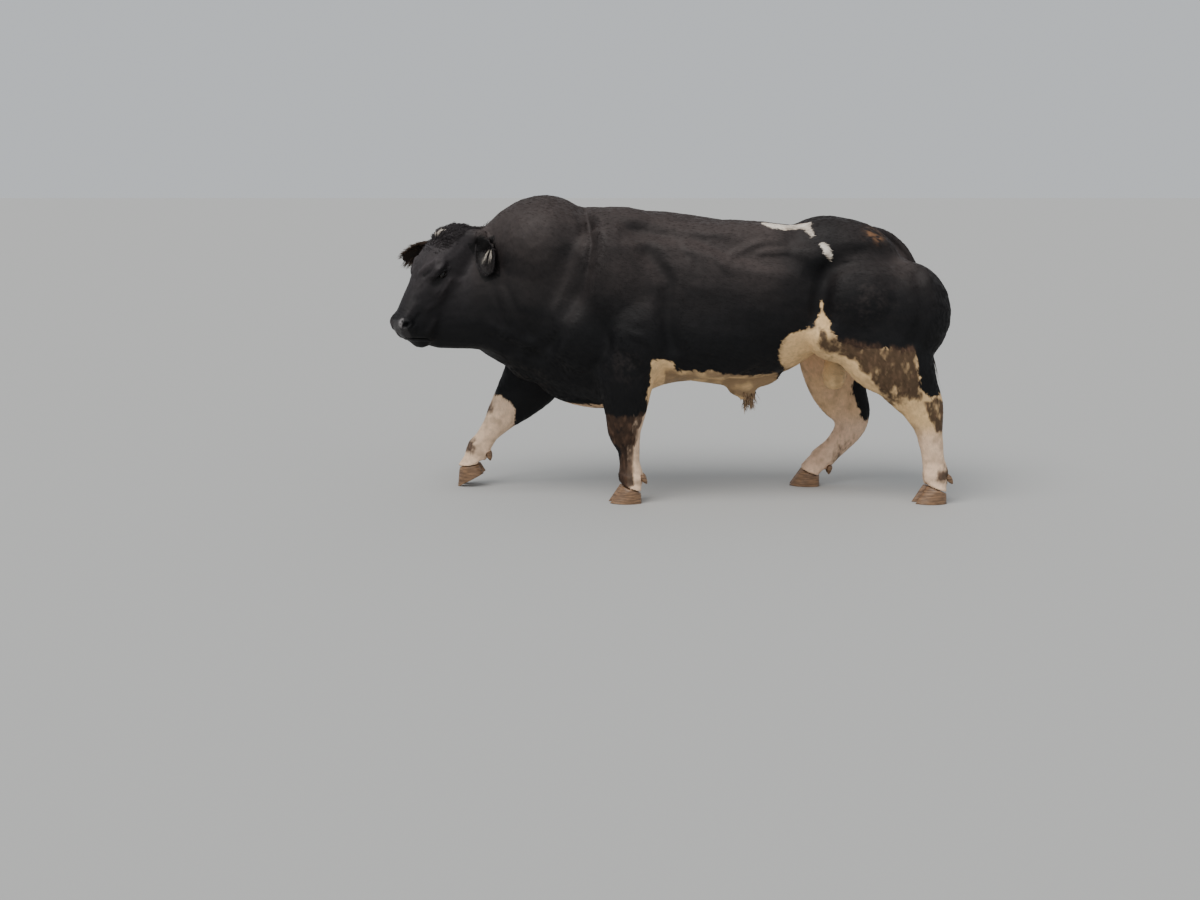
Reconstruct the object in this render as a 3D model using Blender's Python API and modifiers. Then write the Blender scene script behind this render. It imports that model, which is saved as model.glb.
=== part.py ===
"""A walking double-muscled beef bull, life size, as a still display model.

Units are metres. The bull walks towards -X, its left side faces -Y, and +Z is up.
The origin lies on the floor under the middle of the model. The flesh is modelled whole,
from lofts and muscle bellies that a voxel remesh fuses, and is then parted with thin cuts.
"""

import math
import random

import bmesh
import bpy
import numpy as np
from mathutils import Matrix, Vector

# Driving dimensions
GAP = 0.0003
VOXEL = 0.010
FLESH_TRIANGLES = 4700
HEAD_FINENESS = 6200
MODEL_NAME = "double_muscled_bull"
LEFT = -1
RIGHT = 1

# Head: the poll's place, how far the face points down, and how far it turns to the left
POLL = Vector((-1.125, -0.02, 1.36))
HEAD_PITCH = math.radians(53)
HEAD_YAW = math.radians(33)
HEAD_CUT = ((-0.925, 0, 1.1), (-0.956, -0.292, 0))
NECK_CUT = ((-0.44, 0, 1.48), (-0.907, 0, 0.422))

# Eyes, in the head's frame: how far they stand out of the face, and the opening's half size
EYE_RADIUS = 0.021
EYE_PLACE = (0.248, -0.056)
EYE_STANDS_OUT = 0.006
EYE_OPENING = (0.023, 0.0125)
EYE_SLANT = math.radians(14)
LID_RADIUS = 0.0065

# Ears: root in the head's frame, then the way it points and the way the cup opens, in the world
EARS = {
    "left": ((-0.012, 0.160, -0.111), (0.17, -0.60, -0.78), (-0.52, -0.83, 0.16)),
    "right": ((0.060, -0.152, -0.084), (-0.92, 0.00, -0.43), (-0.25, -0.75, -0.60)),
}
EAR_LENGTH = 0.210
EAR_WIDTH = 0.058
EAR_SKIN = 0.007
EAR_ENDS = (-0.14, 1.00)
EAR_CLEARANCE = 0.0045

# Trunk sections: x, top, bottom, half width, height of the widest point
TRUNK = [
    (-0.80, 1.10, 0.70, 0.12, 0.88),
    (-0.66, 1.32, 0.57, 0.24, 0.90),
    (-0.45, 1.40, 0.48, 0.30, 0.93),
    (-0.25, 1.435, 0.47, 0.33, 0.95),
    (-0.05, 1.435, 0.56, 0.345, 0.96),
    (0.15, 1.408, 0.585, 0.36, 0.95),
    (0.38, 1.372, 0.590, 0.355, 0.95),
    (0.58, 1.365, 0.635, 0.32, 1.00),
    (0.76, 1.385, 0.75, 0.27, 1.08),
    (0.95, 1.345, 0.82, 0.23, 1.08),
    (1.09, 1.27, 0.88, 0.16, 1.06),
    (1.19, 1.16, 0.95, 0.07, 1.04),
]

# Neck sections, in the same columns
NECK = [
    (-0.38, 1.30, 0.66, 0.15, 1.00),
    (-0.48, 1.46, 0.58, 0.24, 1.05),
    (-0.62, 1.518, 0.57, 0.265, 1.08),
    (-0.76, 1.492, 0.61, 0.245, 1.08),
    (-0.87, 1.435, 0.665, 0.190, 1.02),
    (-0.96, 1.35, 0.72, 0.140, 1.00),
    (-1.04, 1.29, 0.80, 0.11, 1.00),
]

# Skull sections in the head's own frame: along the face, top, bottom, half width, widest
SKULL = [
    (-0.065, -0.085, -0.22, 0.080, -0.14),
    (-0.02, -0.034, -0.29, 0.122, -0.12),
    (0.07, 0.012, -0.365, 0.134, -0.12),
    (0.16, 0.032, -0.390, 0.138, -0.10),
    (0.24, 0.030, -0.385, 0.126, -0.10),
    (0.32, 0.012, -0.350, 0.100, -0.11),
    (0.40, -0.002, -0.315, 0.086, -0.12),
    (0.475, -0.012, -0.285, 0.081, -0.13),
    (0.530, -0.024, -0.260, 0.077, -0.13),
    (0.568, -0.044, -0.216, 0.066, -0.13),
    (0.590, -0.078, -0.176, 0.045, -0.13),
]
THROAT = [
    (-1.275, 0.93, 0.775, 0.038, 0.86),
    (-1.19, 1.00, 0.748, 0.066, 0.88),
    (-1.07, 1.14, 0.745, 0.100, 0.93),
    (-0.96, 1.22, 0.738, 0.135, 0.95),
    (-0.85, 1.25, 0.690, 0.165, 0.97),
]
THROAT_SIDE = -0.055

# Limb rows: x, y, z, half depth fore and aft, half width
FORE_LEFT = [
    (-0.25, -0.24, 0.78, 0.16, 0.115),
    (-0.245, -0.25, 0.66, 0.155, 0.115),
    (-0.245, -0.25, 0.54, 0.130, 0.100),
    (-0.245, -0.245, 0.45, 0.108, 0.085),
    (-0.25, -0.24, 0.375, 0.092, 0.078),
    (-0.243, -0.237, 0.325, 0.082, 0.068),
    (-0.228, -0.235, 0.26, 0.060, 0.052),
    (-0.222, -0.235, 0.19, 0.058, 0.050),
    (-0.216, -0.235, 0.135, 0.070, 0.064),
    (-0.220, -0.235, 0.095, 0.062, 0.060),
]
FORE_RIGHT = [
    (-0.62, 0.22, 0.80, 0.20, 0.115),
    (-0.68, 0.24, 0.65, 0.190, 0.115),
    (-0.735, 0.245, 0.545, 0.162, 0.100),
    (-0.815, 0.24, 0.445, 0.126, 0.085),
    (-0.872, 0.235, 0.380, 0.096, 0.078),
    (-0.905, 0.232, 0.335, 0.078, 0.068),
    (-0.945, 0.23, 0.285, 0.060, 0.052),
    (-0.980, 0.23, 0.235, 0.058, 0.050),
    (-1.005, 0.23, 0.195, 0.069, 0.064),
    (-1.025, 0.23, 0.150, 0.060, 0.060),
]
HIND_LEFT = [
    (0.96, -0.25, 0.90, 0.26, 0.13),
    (1.02, -0.27, 0.76, 0.215, 0.125),
    (1.11, -0.28, 0.66, 0.175, 0.105),
    (1.165, -0.275, 0.57, 0.140, 0.085),
    (1.21, -0.265, 0.50, 0.115, 0.070),
    (1.235, -0.26, 0.44, 0.100, 0.066),
    (1.255, -0.255, 0.37, 0.076, 0.057),
    (1.272, -0.25, 0.28, 0.064, 0.051),
    (1.285, -0.25, 0.20, 0.062, 0.050),
    (1.298, -0.25, 0.14, 0.071, 0.062),
    (1.292, -0.25, 0.098, 0.060, 0.058),
]
HIND_RIGHT = [
    (0.86, 0.25, 0.90, 0.24, 0.13),
    (0.84, 0.26, 0.76, 0.205, 0.120),
    (0.845, 0.265, 0.64, 0.178, 0.100),
    (0.87, 0.26, 0.53, 0.155, 0.085),
    (0.91, 0.255, 0.445, 0.136, 0.070),
    (0.942, 0.25, 0.375, 0.112, 0.066),
    (0.940, 0.245, 0.305, 0.088, 0.057),
    (0.895, 0.24, 0.240, 0.070, 0.051),
    (0.845, 0.24, 0.186, 0.064, 0.050),
    (0.798, 0.24, 0.142, 0.070, 0.064),
    (0.765, 0.24, 0.114, 0.062, 0.060),
]

# Muscle bellies of the trunk: centre, radii, pitch in degrees; each is made on both sides
PAIRED_BELLIES = [
    ((0.34, 0.125, 1.285), (0.46, 0.125, 0.105), 2),
    ((-0.27, 0.09, 1.315), (0.26, 0.14, 0.145), 3),
    ((0.84, 0.15, 1.225), (0.28, 0.155, 0.180), 15),
    ((0.66, 0.24, 1.21), (0.12, 0.08, 0.08), 0),
    ((1.09, 0.11, 1.06), (0.15, 0.10, 0.16), 42),
    ((-0.64, 0.115, 1.22), (0.245, 0.165, 0.25), 4),
    ((-0.69, 0.13, 1.00), (0.23, 0.135, 0.27), 18),
    ((0.15, 0.24, 0.86), (0.38, 0.13, 0.25), 0),
]
MIDLINE_BELLIES = [
    ((-0.42, 0.0, 0.56), (0.28, 0.13, 0.12), 8),
    ((-0.70, 0.0, 0.74), (0.17, 0.15, 0.17), 30),
    ((-0.66, 0.0, 1.275), (0.265, 0.14, 0.24), 0),
    ((-0.40, 0.0, 1.345), (0.23, 0.125, 0.115), 0),
    ((0.40, 0.0, 0.590), (0.15, 0.055, 0.055), -6),
    ((0.22, 0.0, 0.598), (0.24, 0.06, 0.040), 5),
    ((0.345, 0.0, 0.535), (0.085, 0.040, 0.050), 20),
]
LEFT_BELLIES = [
    ((-0.30, 0.235, 1.08), (0.20, 0.125, 0.30), -10),
    ((-0.47, 0.225, 0.84), (0.16, 0.115, 0.20), -10),
    ((-0.19, 0.275, 0.82), (0.165, 0.115, 0.23), 8),
    ((0.92, 0.245, 1.00), (0.24, 0.155, 0.225), 0),
    ((1.125, 0.225, 0.94), (0.232, 0.165, 0.262), -4),
    ((0.79, 0.25, 0.835), (0.155, 0.12, 0.140), 0),
]
RIGHT_BELLIES = [
    ((-0.38, 0.235, 1.09), (0.20, 0.125, 0.30), -24),
    ((-0.62, 0.215, 0.84), (0.16, 0.115, 0.20), -16),
    ((-0.38, 0.265, 0.84), (0.18, 0.115, 0.22), -22),
    ((0.87, 0.245, 1.00), (0.24, 0.155, 0.225), 0),
    ((1.075, 0.225, 0.94), (0.232, 0.165, 0.262), -2),
    ((0.74, 0.25, 0.845), (0.145, 0.12, 0.145), 0),
]

# Parts of the head that stand out of the skull, in its own frame: centre, radii, pitch
HEAD_PAIRS = [
    ((0.135, 0.084, -0.22), (0.150, 0.066, 0.165), -14),
    ((0.226, 0.106, -0.026), (0.074, 0.045, 0.034), 6),
    ((0.275, 0.088, -0.112), (0.090, 0.038, 0.038), -6),
    ((-0.010, 0.105, -0.095), (0.050, 0.045, 0.050), 0),
    ((0.532, 0.048, -0.066), (0.050, 0.038, 0.044), 0),
]
HEAD_MIDDLES = [
    ((0.028, 0.0, -0.038), (0.085, 0.112, 0.036), -34),
    ((0.538, 0.0, -0.102), (0.067, 0.084, 0.066), 0),
    ((0.542, 0.0, -0.197), (0.054, 0.057, 0.063), 0),
]
MOUTH_SIDE = [(0.536, -0.209), (0.550, -0.186), (0.564, -0.165), (0.580, -0.140)]
MOUTH_FRONT = 0.034
MOUTH_LEVEL = -0.119
NOSTRIL_PLACE = (0.547, 0.061, -0.056)

# Tail: x, y, z, radius
TAIL = [
    (0.86, 0.0, 1.300, 0.045),
    (0.96, 0.0, 1.326, 0.036),
    (1.04, 0.0, 1.318, 0.030),
    (1.115, 0.0, 1.275, 0.027),
    (1.175, 0.0, 1.205, 0.025),
    (1.220, 0.0, 1.11, 0.023),
    (1.250, 0.0, 0.99, 0.021),
    (1.268, 0.0, 0.86, 0.019),
    (1.275, 0.0, 0.80, 0.018),
]

# Switch: the core's x, y, z and radius, then its locks
SWITCH = [
    (1.275, 0.0, 0.7997, 0.0178),
    (1.282, 0.0, 0.74, 0.022),
    (1.296, 0.0, 0.66, 0.021),
    (1.312, 0.0, 0.58, 0.014),
    (1.322, 0.0, 0.52, 0.006),
]
SWITCH_LOCKS = 12
SWITCH_LOCK_LENGTHS = (0.10, 0.16)
SWITCH_ROOM = 0.046
SWITCH_TIP = 0.445

# Curls of the poll: rows along the face, curls in a row, and their half sizes
POLL_ROWS = (-0.052, -0.010, 0.034, 0.078)
POLL_CURLS = 4
POLL_HALF_WIDTH = 0.078
CURL_RADII = (0.029, 0.025, 0.014)

# Hair at the sheath's mouth and at the ears: how many locks and how long
SHEATH_LOCKS = 7
SHEATH_MOUTH = (0.375, 0.0, 0.497)
SHEATH_LOCK_LENGTHS = (0.050, 0.065)
EAR_LOCKS = 5
EAR_HAIR = {"left": (-0.42, -0.62, -0.66), "right": (-0.40, -0.60, -0.70)}
EAR_HAIR_PLACE = (0.30, 0.028)
EAR_LOCK_LENGTHS = (0.045, 0.070)
SEED = 11

# Scrotum: x, y, z, half depth, half width
SCROTUM = [
    (0.86, 0.0, 0.86, 0.060, 0.055),
    (0.83, 0.0, 0.76, 0.046, 0.048),
    (0.82, 0.0, 0.68, 0.058, 0.070),
    (0.815, 0.0, 0.61, 0.064, 0.078),
    (0.815, 0.0, 0.555, 0.050, 0.062),
    (0.815, 0.0, 0.535, 0.022, 0.030),
]

# Claws: length and width of the sole, coronet height, and half the distance between two
CLAW_LENGTH = 0.160
CLAW_WIDTH = 0.076
CORONET_FRONT = 0.088
CORONET_HEEL = 0.052
CORONET_BACK = 0.060
CORONET_TRIM = 0.008
CLAW_SPREAD = 0.0405
CLAW_SINK = 0.004
DEWCLAW_RADIUS = 0.016
DEWCLAW_LENGTH = 0.036

# Feet: x and y of the sole's middle, turn outwards and tip onto the toe, in degrees
FEET = {
    "front_left": ((-0.246, -0.237), 6, 0),
    "front_right": ((-1.035, 0.23), -4, 28),
    "hind_left": ((1.266, -0.25), 8, 0),
    "hind_right": ((0.706, 0.24), -8, 0),
}
LIMBS = {
    "front_left": FORE_LEFT,
    "front_right": FORE_RIGHT,
    "hind_left": HIND_LEFT,
    "hind_right": HIND_RIGHT,
}

# Boxes that part the legs from the trunk: low corner and high corner
LEG_BOXES = {
    "front_left": ((-0.40, -0.60, -0.10), (-0.09, -0.145, 0.525)),
    "front_right": ((-1.30, 0.125, -0.10), (-0.50, 0.60, 0.575)),
    "hind_left": ((0.62, -0.60, -0.10), (1.60, -0.04, 0.655)),
    "hind_right": ((0.62, 0.04, -0.10), (1.60, 0.60, 0.655)),
}

def spline(rows, per_span):
    """Points of a smooth curve through rows of numbers, end rows included."""
    rows = [np.array(row, float) for row in rows]
    ends = [2 * rows[0] - rows[1]] + rows + [2 * rows[-1] - rows[-2]]
    out = []
    for a, b, c, d in zip(ends, ends[1:], ends[2:], ends[3:]):
        for k in range(per_span):
            t = k / per_span
            out.append(
                0.5 * (2 * b + (c - a) * t + (2 * a - 5 * b + 4 * c - d) * t**2
                       + (3 * b - a - 3 * c + d) * t**3)
            )
    out.append(rows[-1])
    return out


def link(mesh, name, hidden=False):
    """An object of this mesh in the scene; a hidden one is a helper."""
    thing = bpy.data.objects.new(name, mesh)
    bpy.context.scene.collection.objects.link(thing)
    if hidden:
        thing.hide_render = True
        thing.display_type = "WIRE"
    return thing


def loft(name, rings, matrix=None):
    """A closed skin over rings of points, with a flat end at each side."""
    work = bmesh.new()
    loops = [[work.verts.new(point) for point in ring] for ring in rings]
    count = len(loops[0])
    for first, second in zip(loops, loops[1:]):
        for k in range(count):
            j = (k + 1) % count
            work.faces.new((first[k], first[j], second[j], second[k]))
    work.faces.new(loops[0])
    work.faces.new(loops[-1])
    bmesh.ops.recalc_face_normals(work, faces=work.faces)
    if matrix is not None:
        work.transform(matrix)
    mesh = bpy.data.meshes.new(name)
    work.to_mesh(mesh)
    work.free()
    return link(mesh, name, hidden=True)


def egg_rings(rows, per_span=4, count=28, squareness=2.3):
    """Upright sections along x, with their own height above and below the widest point."""
    rings = []
    power = 2 / squareness
    for x, top, bottom, half, middle in spline(rows, per_span):
        ring = []
        for k in range(count):
            angle = 2 * math.pi * k / count
            side = math.copysign(abs(math.cos(angle)) ** power, math.cos(angle))
            lift = math.copysign(abs(math.sin(angle)) ** power, math.sin(angle))
            reach = top - middle if lift > 0 else middle - bottom
            ring.append((x, half * side, middle + reach * lift))
        rings.append(ring)
    return rings


def limb_rings(rows, per_span=4, count=20):
    """Sections square to a path in the fore-and-aft plane: half depth, then half width."""
    points = spline(rows, per_span)
    rings = []
    for k, (x, y, z, depth, width) in enumerate(points):
        before = points[max(k - 1, 0)]
        after = points[min(k + 1, len(points) - 1)]
        along = Vector((after[0] - before[0], 0, after[2] - before[2])).normalized()
        across = Vector((along.z, 0, -along.x))
        rings.append([
            Vector((x, y, z)) + across * depth * math.cos(a) + Vector((0, width * math.sin(a), 0))
            for a in (2 * math.pi * n / count for n in range(count))
        ])
    return rings


def belly(name, centre, radii, pitch, matrix=None):
    """An ellipsoid that stands for one muscle, tipped forward by pitch degrees."""
    work = bmesh.new()
    bmesh.ops.create_uvsphere(work, u_segments=28, v_segments=18, radius=1.0)
    place = Matrix.Translation(centre) @ Matrix.Rotation(math.radians(pitch), 4, "Y")
    place = place @ Matrix.Diagonal((*radii, 1.0))
    work.transform(matrix @ place if matrix is not None else place)
    mesh = bpy.data.meshes.new(name)
    work.to_mesh(mesh)
    work.free()
    return link(mesh, name, hidden=True)


def bellies(name, rows, matrix=None, paired=False):
    """One ellipsoid for each row, or a left and a right one."""
    made = []
    for n, (centre, radii, pitch) in enumerate(rows):
        for side in (LEFT, RIGHT) if paired else (RIGHT,):
            place = (centre[0], side * centre[1], centre[2])
            made.append(belly(f"{name}_{n}_{side}", place, radii, pitch, matrix))
    return made


def head_matrix():
    """From the head's frame, x down the face and z out of the forehead, to the world."""
    turn = Matrix.Rotation(math.pi + HEAD_YAW, 4, "Z") @ Matrix.Rotation(HEAD_PITCH, 4, "Y")
    return Matrix.Translation(POLL) @ turn


def baked(thing):
    """The object with its modifiers made part of its mesh."""
    graph = bpy.context.evaluated_depsgraph_get()
    mesh = bpy.data.meshes.new_from_object(thing.evaluated_get(graph))
    thing.modifiers.clear()
    thing.data = mesh
    return thing


def joined(things, name):
    """All these meshes as one object, still overlapping."""
    work = bmesh.new()
    for thing in things:
        work.from_mesh(thing.data)
        bpy.data.objects.remove(thing)
    mesh = bpy.data.meshes.new(name)
    work.to_mesh(mesh)
    work.free()
    return link(mesh, name)


def combine(thing, others, operation, solver="EXACT", keep=False):
    """Joins the other meshes to this one, or cuts them out of it."""
    group = bpy.data.collections.new(f"{thing.name}_tools")
    bpy.context.scene.collection.children.link(group)
    for other in others:
        group.objects.link(other)
    step = thing.modifiers.new(operation.title(), "BOOLEAN")
    step.operation = operation
    step.operand_type = "COLLECTION"
    step.collection = group
    step.solver = solver
    baked(thing)
    for other in others:
        group.objects.unlink(other)
        if not keep:
            bpy.data.objects.remove(other)
    bpy.data.collections.remove(group)
    return largest(thing)


def largest(thing, near=None):
    """Keeps only the biggest closed surface of a mesh, or the one that comes nearest a point."""
    work = bmesh.new()
    work.from_mesh(thing.data)
    left = set(work.verts)
    groups = []
    while left:
        stack = [left.pop()]
        found = []
        while stack:
            vertex = stack.pop()
            found.append(vertex)
            for edge in vertex.link_edges:
                other = edge.other_vert(vertex)
                if other in left:
                    left.remove(other)
                    stack.append(other)
        groups.append(found)
    if near is None:
        groups.sort(key=len)
    else:
        groups.sort(key=lambda found: -min((vertex.co - near).length for vertex in found))
    for scrap in groups[:-1]:
        bmesh.ops.delete(work, geom=scrap, context="VERTS")
    work.to_mesh(thing.data)
    work.free()
    return thing


def weigh(thing, name, weights):
    """A vertex group whose weight differs from vertex to vertex, in 20 steps."""
    group = thing.vertex_groups.new(name=name)
    steps = np.round(np.clip(weights, 0, 1) * 20).astype(int)
    for step in range(1, 21):
        group.add(np.nonzero(steps == step)[0].tolist(), step / 20, "REPLACE")
    return group.name


def points_of(mesh):
    """The mesh's vertices as an array."""
    flat = np.empty(len(mesh.vertices) * 3, np.float32)
    mesh.vertices.foreach_get("co", flat)
    return flat.reshape(-1, 3).astype(float)


def normals_of(mesh):
    """The mesh's vertex normals as an array."""
    flat = np.empty(len(mesh.vertices) * 3, np.float32)
    mesh.vertex_normals.foreach_get("vector", flat)
    return flat.reshape(-1, 3).astype(float)


def set_points(mesh, points):
    mesh.vertices.foreach_set("co", points.astype(np.float32).ravel())
    mesh.update()


def ramp(value, low, high):
    """0 below low, 1 above high, and smooth between."""
    t = np.clip((value - low) / (high - low), 0, 1)
    return t * t * (3 - 2 * t)


def distance_to_path(points, path):
    """How far each point is from a line through the path's points."""
    best = np.full(len(points), np.inf)
    for a, b in zip(path, path[1:]):
        a, b = np.array(a, float), np.array(b, float)
        along = b - a
        t = np.clip((points - a) @ along / (along @ along), 0, 1)
        best = np.minimum(best, np.linalg.norm(points - a - t[:, None] * along, axis=1))
    return best


# Furrows between muscles, as seen from the side: x and z points, depth, half width, sides
FURROWS = [
    ([(-0.455, 1.50), (-0.425, 1.37), (-0.415, 1.27), (-0.435, 1.16), (-0.47, 1.05), (-0.53, 0.95)],
     0.022, 0.028, (LEFT, RIGHT)),
    ([(-0.55, 0.93), (-0.60, 0.80), (-0.70, 0.72)], 0.014, 0.028, (LEFT, RIGHT)),
    ([(-0.25, 1.33), (0.05, 1.33), (0.22, 1.26), (0.40, 1.20), (0.58, 1.19)],
     0.013, 0.030, (LEFT, RIGHT)),
    ([(-0.14, 1.24), (-0.04, 1.10), (-0.05, 0.95), (-0.02, 0.78)], 0.016, 0.030, (LEFT,)),
    ([(-0.20, 1.24), (-0.10, 1.10), (-0.12, 0.95), (-0.10, 0.78)], 0.016, 0.030, (RIGHT,)),
    ([(0.70, 0.90), (0.705, 1.05), (0.73, 1.17), (0.85, 1.215), (1.02, 1.215), (1.16, 1.15)],
     0.018, 0.030, (LEFT,)),
    ([(0.65, 0.90), (0.655, 1.05), (0.68, 1.17), (0.80, 1.215), (0.97, 1.215), (1.13, 1.15)],
     0.018, 0.030, (RIGHT,)),
    ([(1.16, 1.12), (1.19, 0.95), (1.15, 0.82)], 0.012, 0.026, (LEFT,)),
    ([(1.11, 1.12), (1.14, 0.95), (1.10, 0.82)], 0.012, 0.026, (RIGHT,)),
]


def carve(thing):
    """Presses the furrows into the flesh, with a low swelling on both sides of each."""
    mesh = thing.data
    points, normals = points_of(mesh), normals_of(mesh)
    flat = points * (1, 0, 1)
    for path, depth, half, sides in FURROWS:
        away = distance_to_path(flat, [(x, 0, z) for x, z in path]) / half
        press = np.exp(-away**2) - 0.35 * np.exp(-((away - 2.2) ** 2))
        for side in sides:
            facing = ramp(side * normals[:, 1], 0.1, 0.6) * (side * points[:, 1] > 0.02)
            points -= normals * (depth * press * facing)[:, None]
    set_points(mesh, points)


def flesh():
    """Trunk, neck, skull and legs, fused into one closed skin."""
    head = head_matrix()
    forms = [
        loft("trunk", egg_rings(TRUNK)),
        loft("neck", egg_rings(NECK)),
        loft("skull", egg_rings(SKULL, squareness=2.6), head),
        loft("throat", egg_rings(THROAT), Matrix.Translation((0, THROAT_SIDE, 0))),
    ]
    for name, rows in LIMBS.items():
        forms.append(loft(name, limb_rings(rows)))
    forms += bellies("pair", PAIRED_BELLIES, paired=True)
    forms += bellies("middle", MIDLINE_BELLIES)
    forms += bellies("left", [((x, -y, z), r, p) for (x, y, z), r, p in LEFT_BELLIES])
    forms += bellies("right", RIGHT_BELLIES)
    forms += bellies("face_pair", HEAD_PAIRS, head, paired=True)
    forms += bellies("face", HEAD_MIDDLES, head)
    body = joined(forms, "flesh")
    remesh = body.modifiers.new("Fuse", "REMESH")
    remesh.mode = "VOXEL"
    remesh.voxel_size = VOXEL
    baked(body)
    largest(body)
    points = points_of(body.data)
    local = (np.c_[points, np.ones(len(points))] @ np.array(head.inverted()).T)[:, :3]
    face = ramp(local[:, 0], -0.10, 0.10) * ramp(-points[:, 0], 0.80, 0.95)
    low = 1 - ramp(points[:, 2], 0.50, 0.85)
    soften = body.modifiers.new("Soften", "SMOOTH")
    soften.factor = 0.5
    soften.iterations = 70
    soften.vertex_group = weigh(body, "broad", (1 - 0.93 * face) * (1 - 0.8 * low))
    baked(body)
    body.vertex_groups.clear()
    carve(body)
    settle = body.modifiers.new("Settle", "SMOOTH")
    settle.factor = 0.5
    settle.iterations = 3
    baked(body)
    return body


def thin(thing, triangles):
    """Collapses edges until about this many triangles are left, fewer where it is flat."""
    now = sum(len(face.vertices) - 2 for face in thing.data.polygons)
    step = thing.modifiers.new("Thin", "DECIMATE")
    step.ratio = min(1.0, triangles / now)
    step.use_collapse_triangulate = True
    return baked(thing)


def copied(thing, name, hidden=False):
    return link(thing.data.copy(), name, hidden)


def halved(thing, point, normal, keep_near=None):
    """Keeps what lies on the normal's side of a plane, closed flat; or one piece of it."""
    work = bmesh.new()
    work.from_mesh(thing.data)
    geometry = work.verts[:] + work.edges[:] + work.faces[:]
    cut = bmesh.ops.bisect_plane(work, geom=geometry, dist=1e-6, plane_co=point,
                                 plane_no=normal, clear_inner=True)
    rim = [piece for piece in cut["geom_cut"] if isinstance(piece, bmesh.types.BMEdge)]
    bmesh.ops.triangle_fill(work, edges=rim, use_beauty=True)
    bmesh.ops.recalc_face_normals(work, faces=work.faces)
    work.to_mesh(thing.data)
    work.free()
    return largest(thing, keep_near)


def box(name, low, high):
    work = bmesh.new()
    bmesh.ops.create_cube(work, size=1.0)
    low, high = Vector(low), Vector(high)
    size = high - low
    work.transform(Matrix.Translation((low + high) / 2) @ Matrix.Diagonal((*size, 1.0)))
    mesh = bpy.data.meshes.new(name)
    work.to_mesh(mesh)
    work.free()
    return link(mesh, name, hidden=True)


def parted(body, fine):
    """Head, neck, torso and legs, cut from the flesh with a thin gap at each cut."""
    half = GAP / 2
    head_point, head_normal = Vector(HEAD_CUT[0]), Vector(HEAD_CUT[1]).normalized()
    neck_point, neck_normal = Vector(NECK_CUT[0]), Vector(NECK_CUT[1]).normalized()
    head = halved(copied(fine, "head"), head_point + head_normal * half, head_normal)
    neck = halved(copied(body, "neck"), head_point - head_normal * half, -head_normal)
    halved(neck, neck_point + neck_normal * half, neck_normal)
    torso = halved(copied(body, "torso"), neck_point - neck_normal * half, -neck_normal)
    legs = {}
    tools = []
    for name, (low, high) in LEG_BOXES.items():
        (x, y), _, _ = FEET[name]
        side = LEFT if y < 0 else RIGHT
        inner = high[1] if side == LEFT else low[1]
        near = Vector((x, y, 0.15))
        leg = copied(body, f"leg_{name}")
        halved(leg, (low[0], 0, 0), (1, 0, 0), near)
        halved(leg, (high[0], 0, 0), (-1, 0, 0), near)
        halved(leg, (0, inner, 0), (0, side, 0), near)
        legs[name] = halved(leg, (0, 0, high[2]), (0, 0, -1), near)
        grown_low = [v - GAP for v in low]
        grown_high = [v + GAP for v in high]
        tools.append(box(f"leg_box_{name}", grown_low, grown_high))
    combine(neck, tools, "DIFFERENCE", keep=True)
    combine(torso, tools, "DIFFERENCE")
    return head, neck, torso, legs


def foot_matrix(name):
    """From a foot's own frame, toe towards -X and sole at z 0, to the world."""
    (x, y), turn, tip = FEET[name]
    toe = Vector((-CLAW_LENGTH / 2, 0, 0))
    lean = Matrix.Translation(toe) @ Matrix.Rotation(-math.radians(tip), 4, "Y")
    place = Matrix.Translation((x, y, -CLAW_SINK if tip else 0.0))
    return place @ Matrix.Rotation(math.radians(turn), 4, "Z") @ lean @ Matrix.Translation(-toe)


def claw_ring(level, side, grow=0.0, lift=0.0, count=16):
    """One ring of a claw: level 0 is the sole, level 1 the coronet."""
    ring = []
    back = CLAW_LENGTH / 2 - 0.004 * level
    front = -CLAW_LENGTH / 2 + CORONET_BACK * level
    middle, half = (front + back) / 2, (back - front) / 2
    width = CLAW_WIDTH / 2 * (1 - 0.10 * level) + grow
    for n in range(count):
        angle = 2 * math.pi * n / count
        along = math.cos(angle)
        across = math.sin(angle)
        taper = 1 - 0.42 * max(0.0, -along) ** 2
        bow = -0.010 * max(0.0, -along) ** 2
        x = middle + (half + grow) * along
        share = (x - front) / (2 * half)
        height = level * (CORONET_FRONT + (CORONET_HEEL - CORONET_FRONT) * share)
        y = side * (CLAW_SPREAD + bow) + width * across * taper
        ring.append((x, y, height + lift))
    return ring


def claws_and_digits(name):
    """Two claws, two dewclaws and the two toes of flesh above them, for one foot."""
    place = foot_matrix(name)
    claws, digits, dewclaws, sockets = [], [], [], []
    for side, which in ((LEFT, "left"), (RIGHT, "right")):
        rings = [claw_ring(level, side) for level in (0.0, 0.12, 0.55, 1.0)]
        claw = loft(f"claw_{name}_{which}", rings, place)
        shown(claw)
        if FEET[name][2]:
            halved(claw, (0, 0, 0), (0, 0, 1))
        claws.append(claw)
        rings = [claw_ring(1.0, side, 0.0015, GAP), claw_ring(1.0, side, 0.005, 0.014)]
        rings = [[place @ Vector(point) for point in ring] for ring in rings]
        for x, y, z, depth, width in (LIMBS[name][-1], LIMBS[name][-2]):
            rings.append([
                Vector((x + 0.98 * depth * math.cos(angle),
                        y + side * 0.36 * width + 0.66 * width * math.sin(angle),
                        z - 0.012 * math.cos(angle)))
                for angle in (2 * math.pi * n / 16 for n in range(16))
            ])
        digits.append(loft(f"digit_{name}_{which}", rings))
        for grow, made in ((0.0, dewclaws), (GAP, sockets)):
            made.append(dewclaw(f"dewclaw_{name}_{which}", name, side, grow))
    for horn in dewclaws:
        shown(horn)
    return claws, digits, dewclaws, sockets


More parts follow.
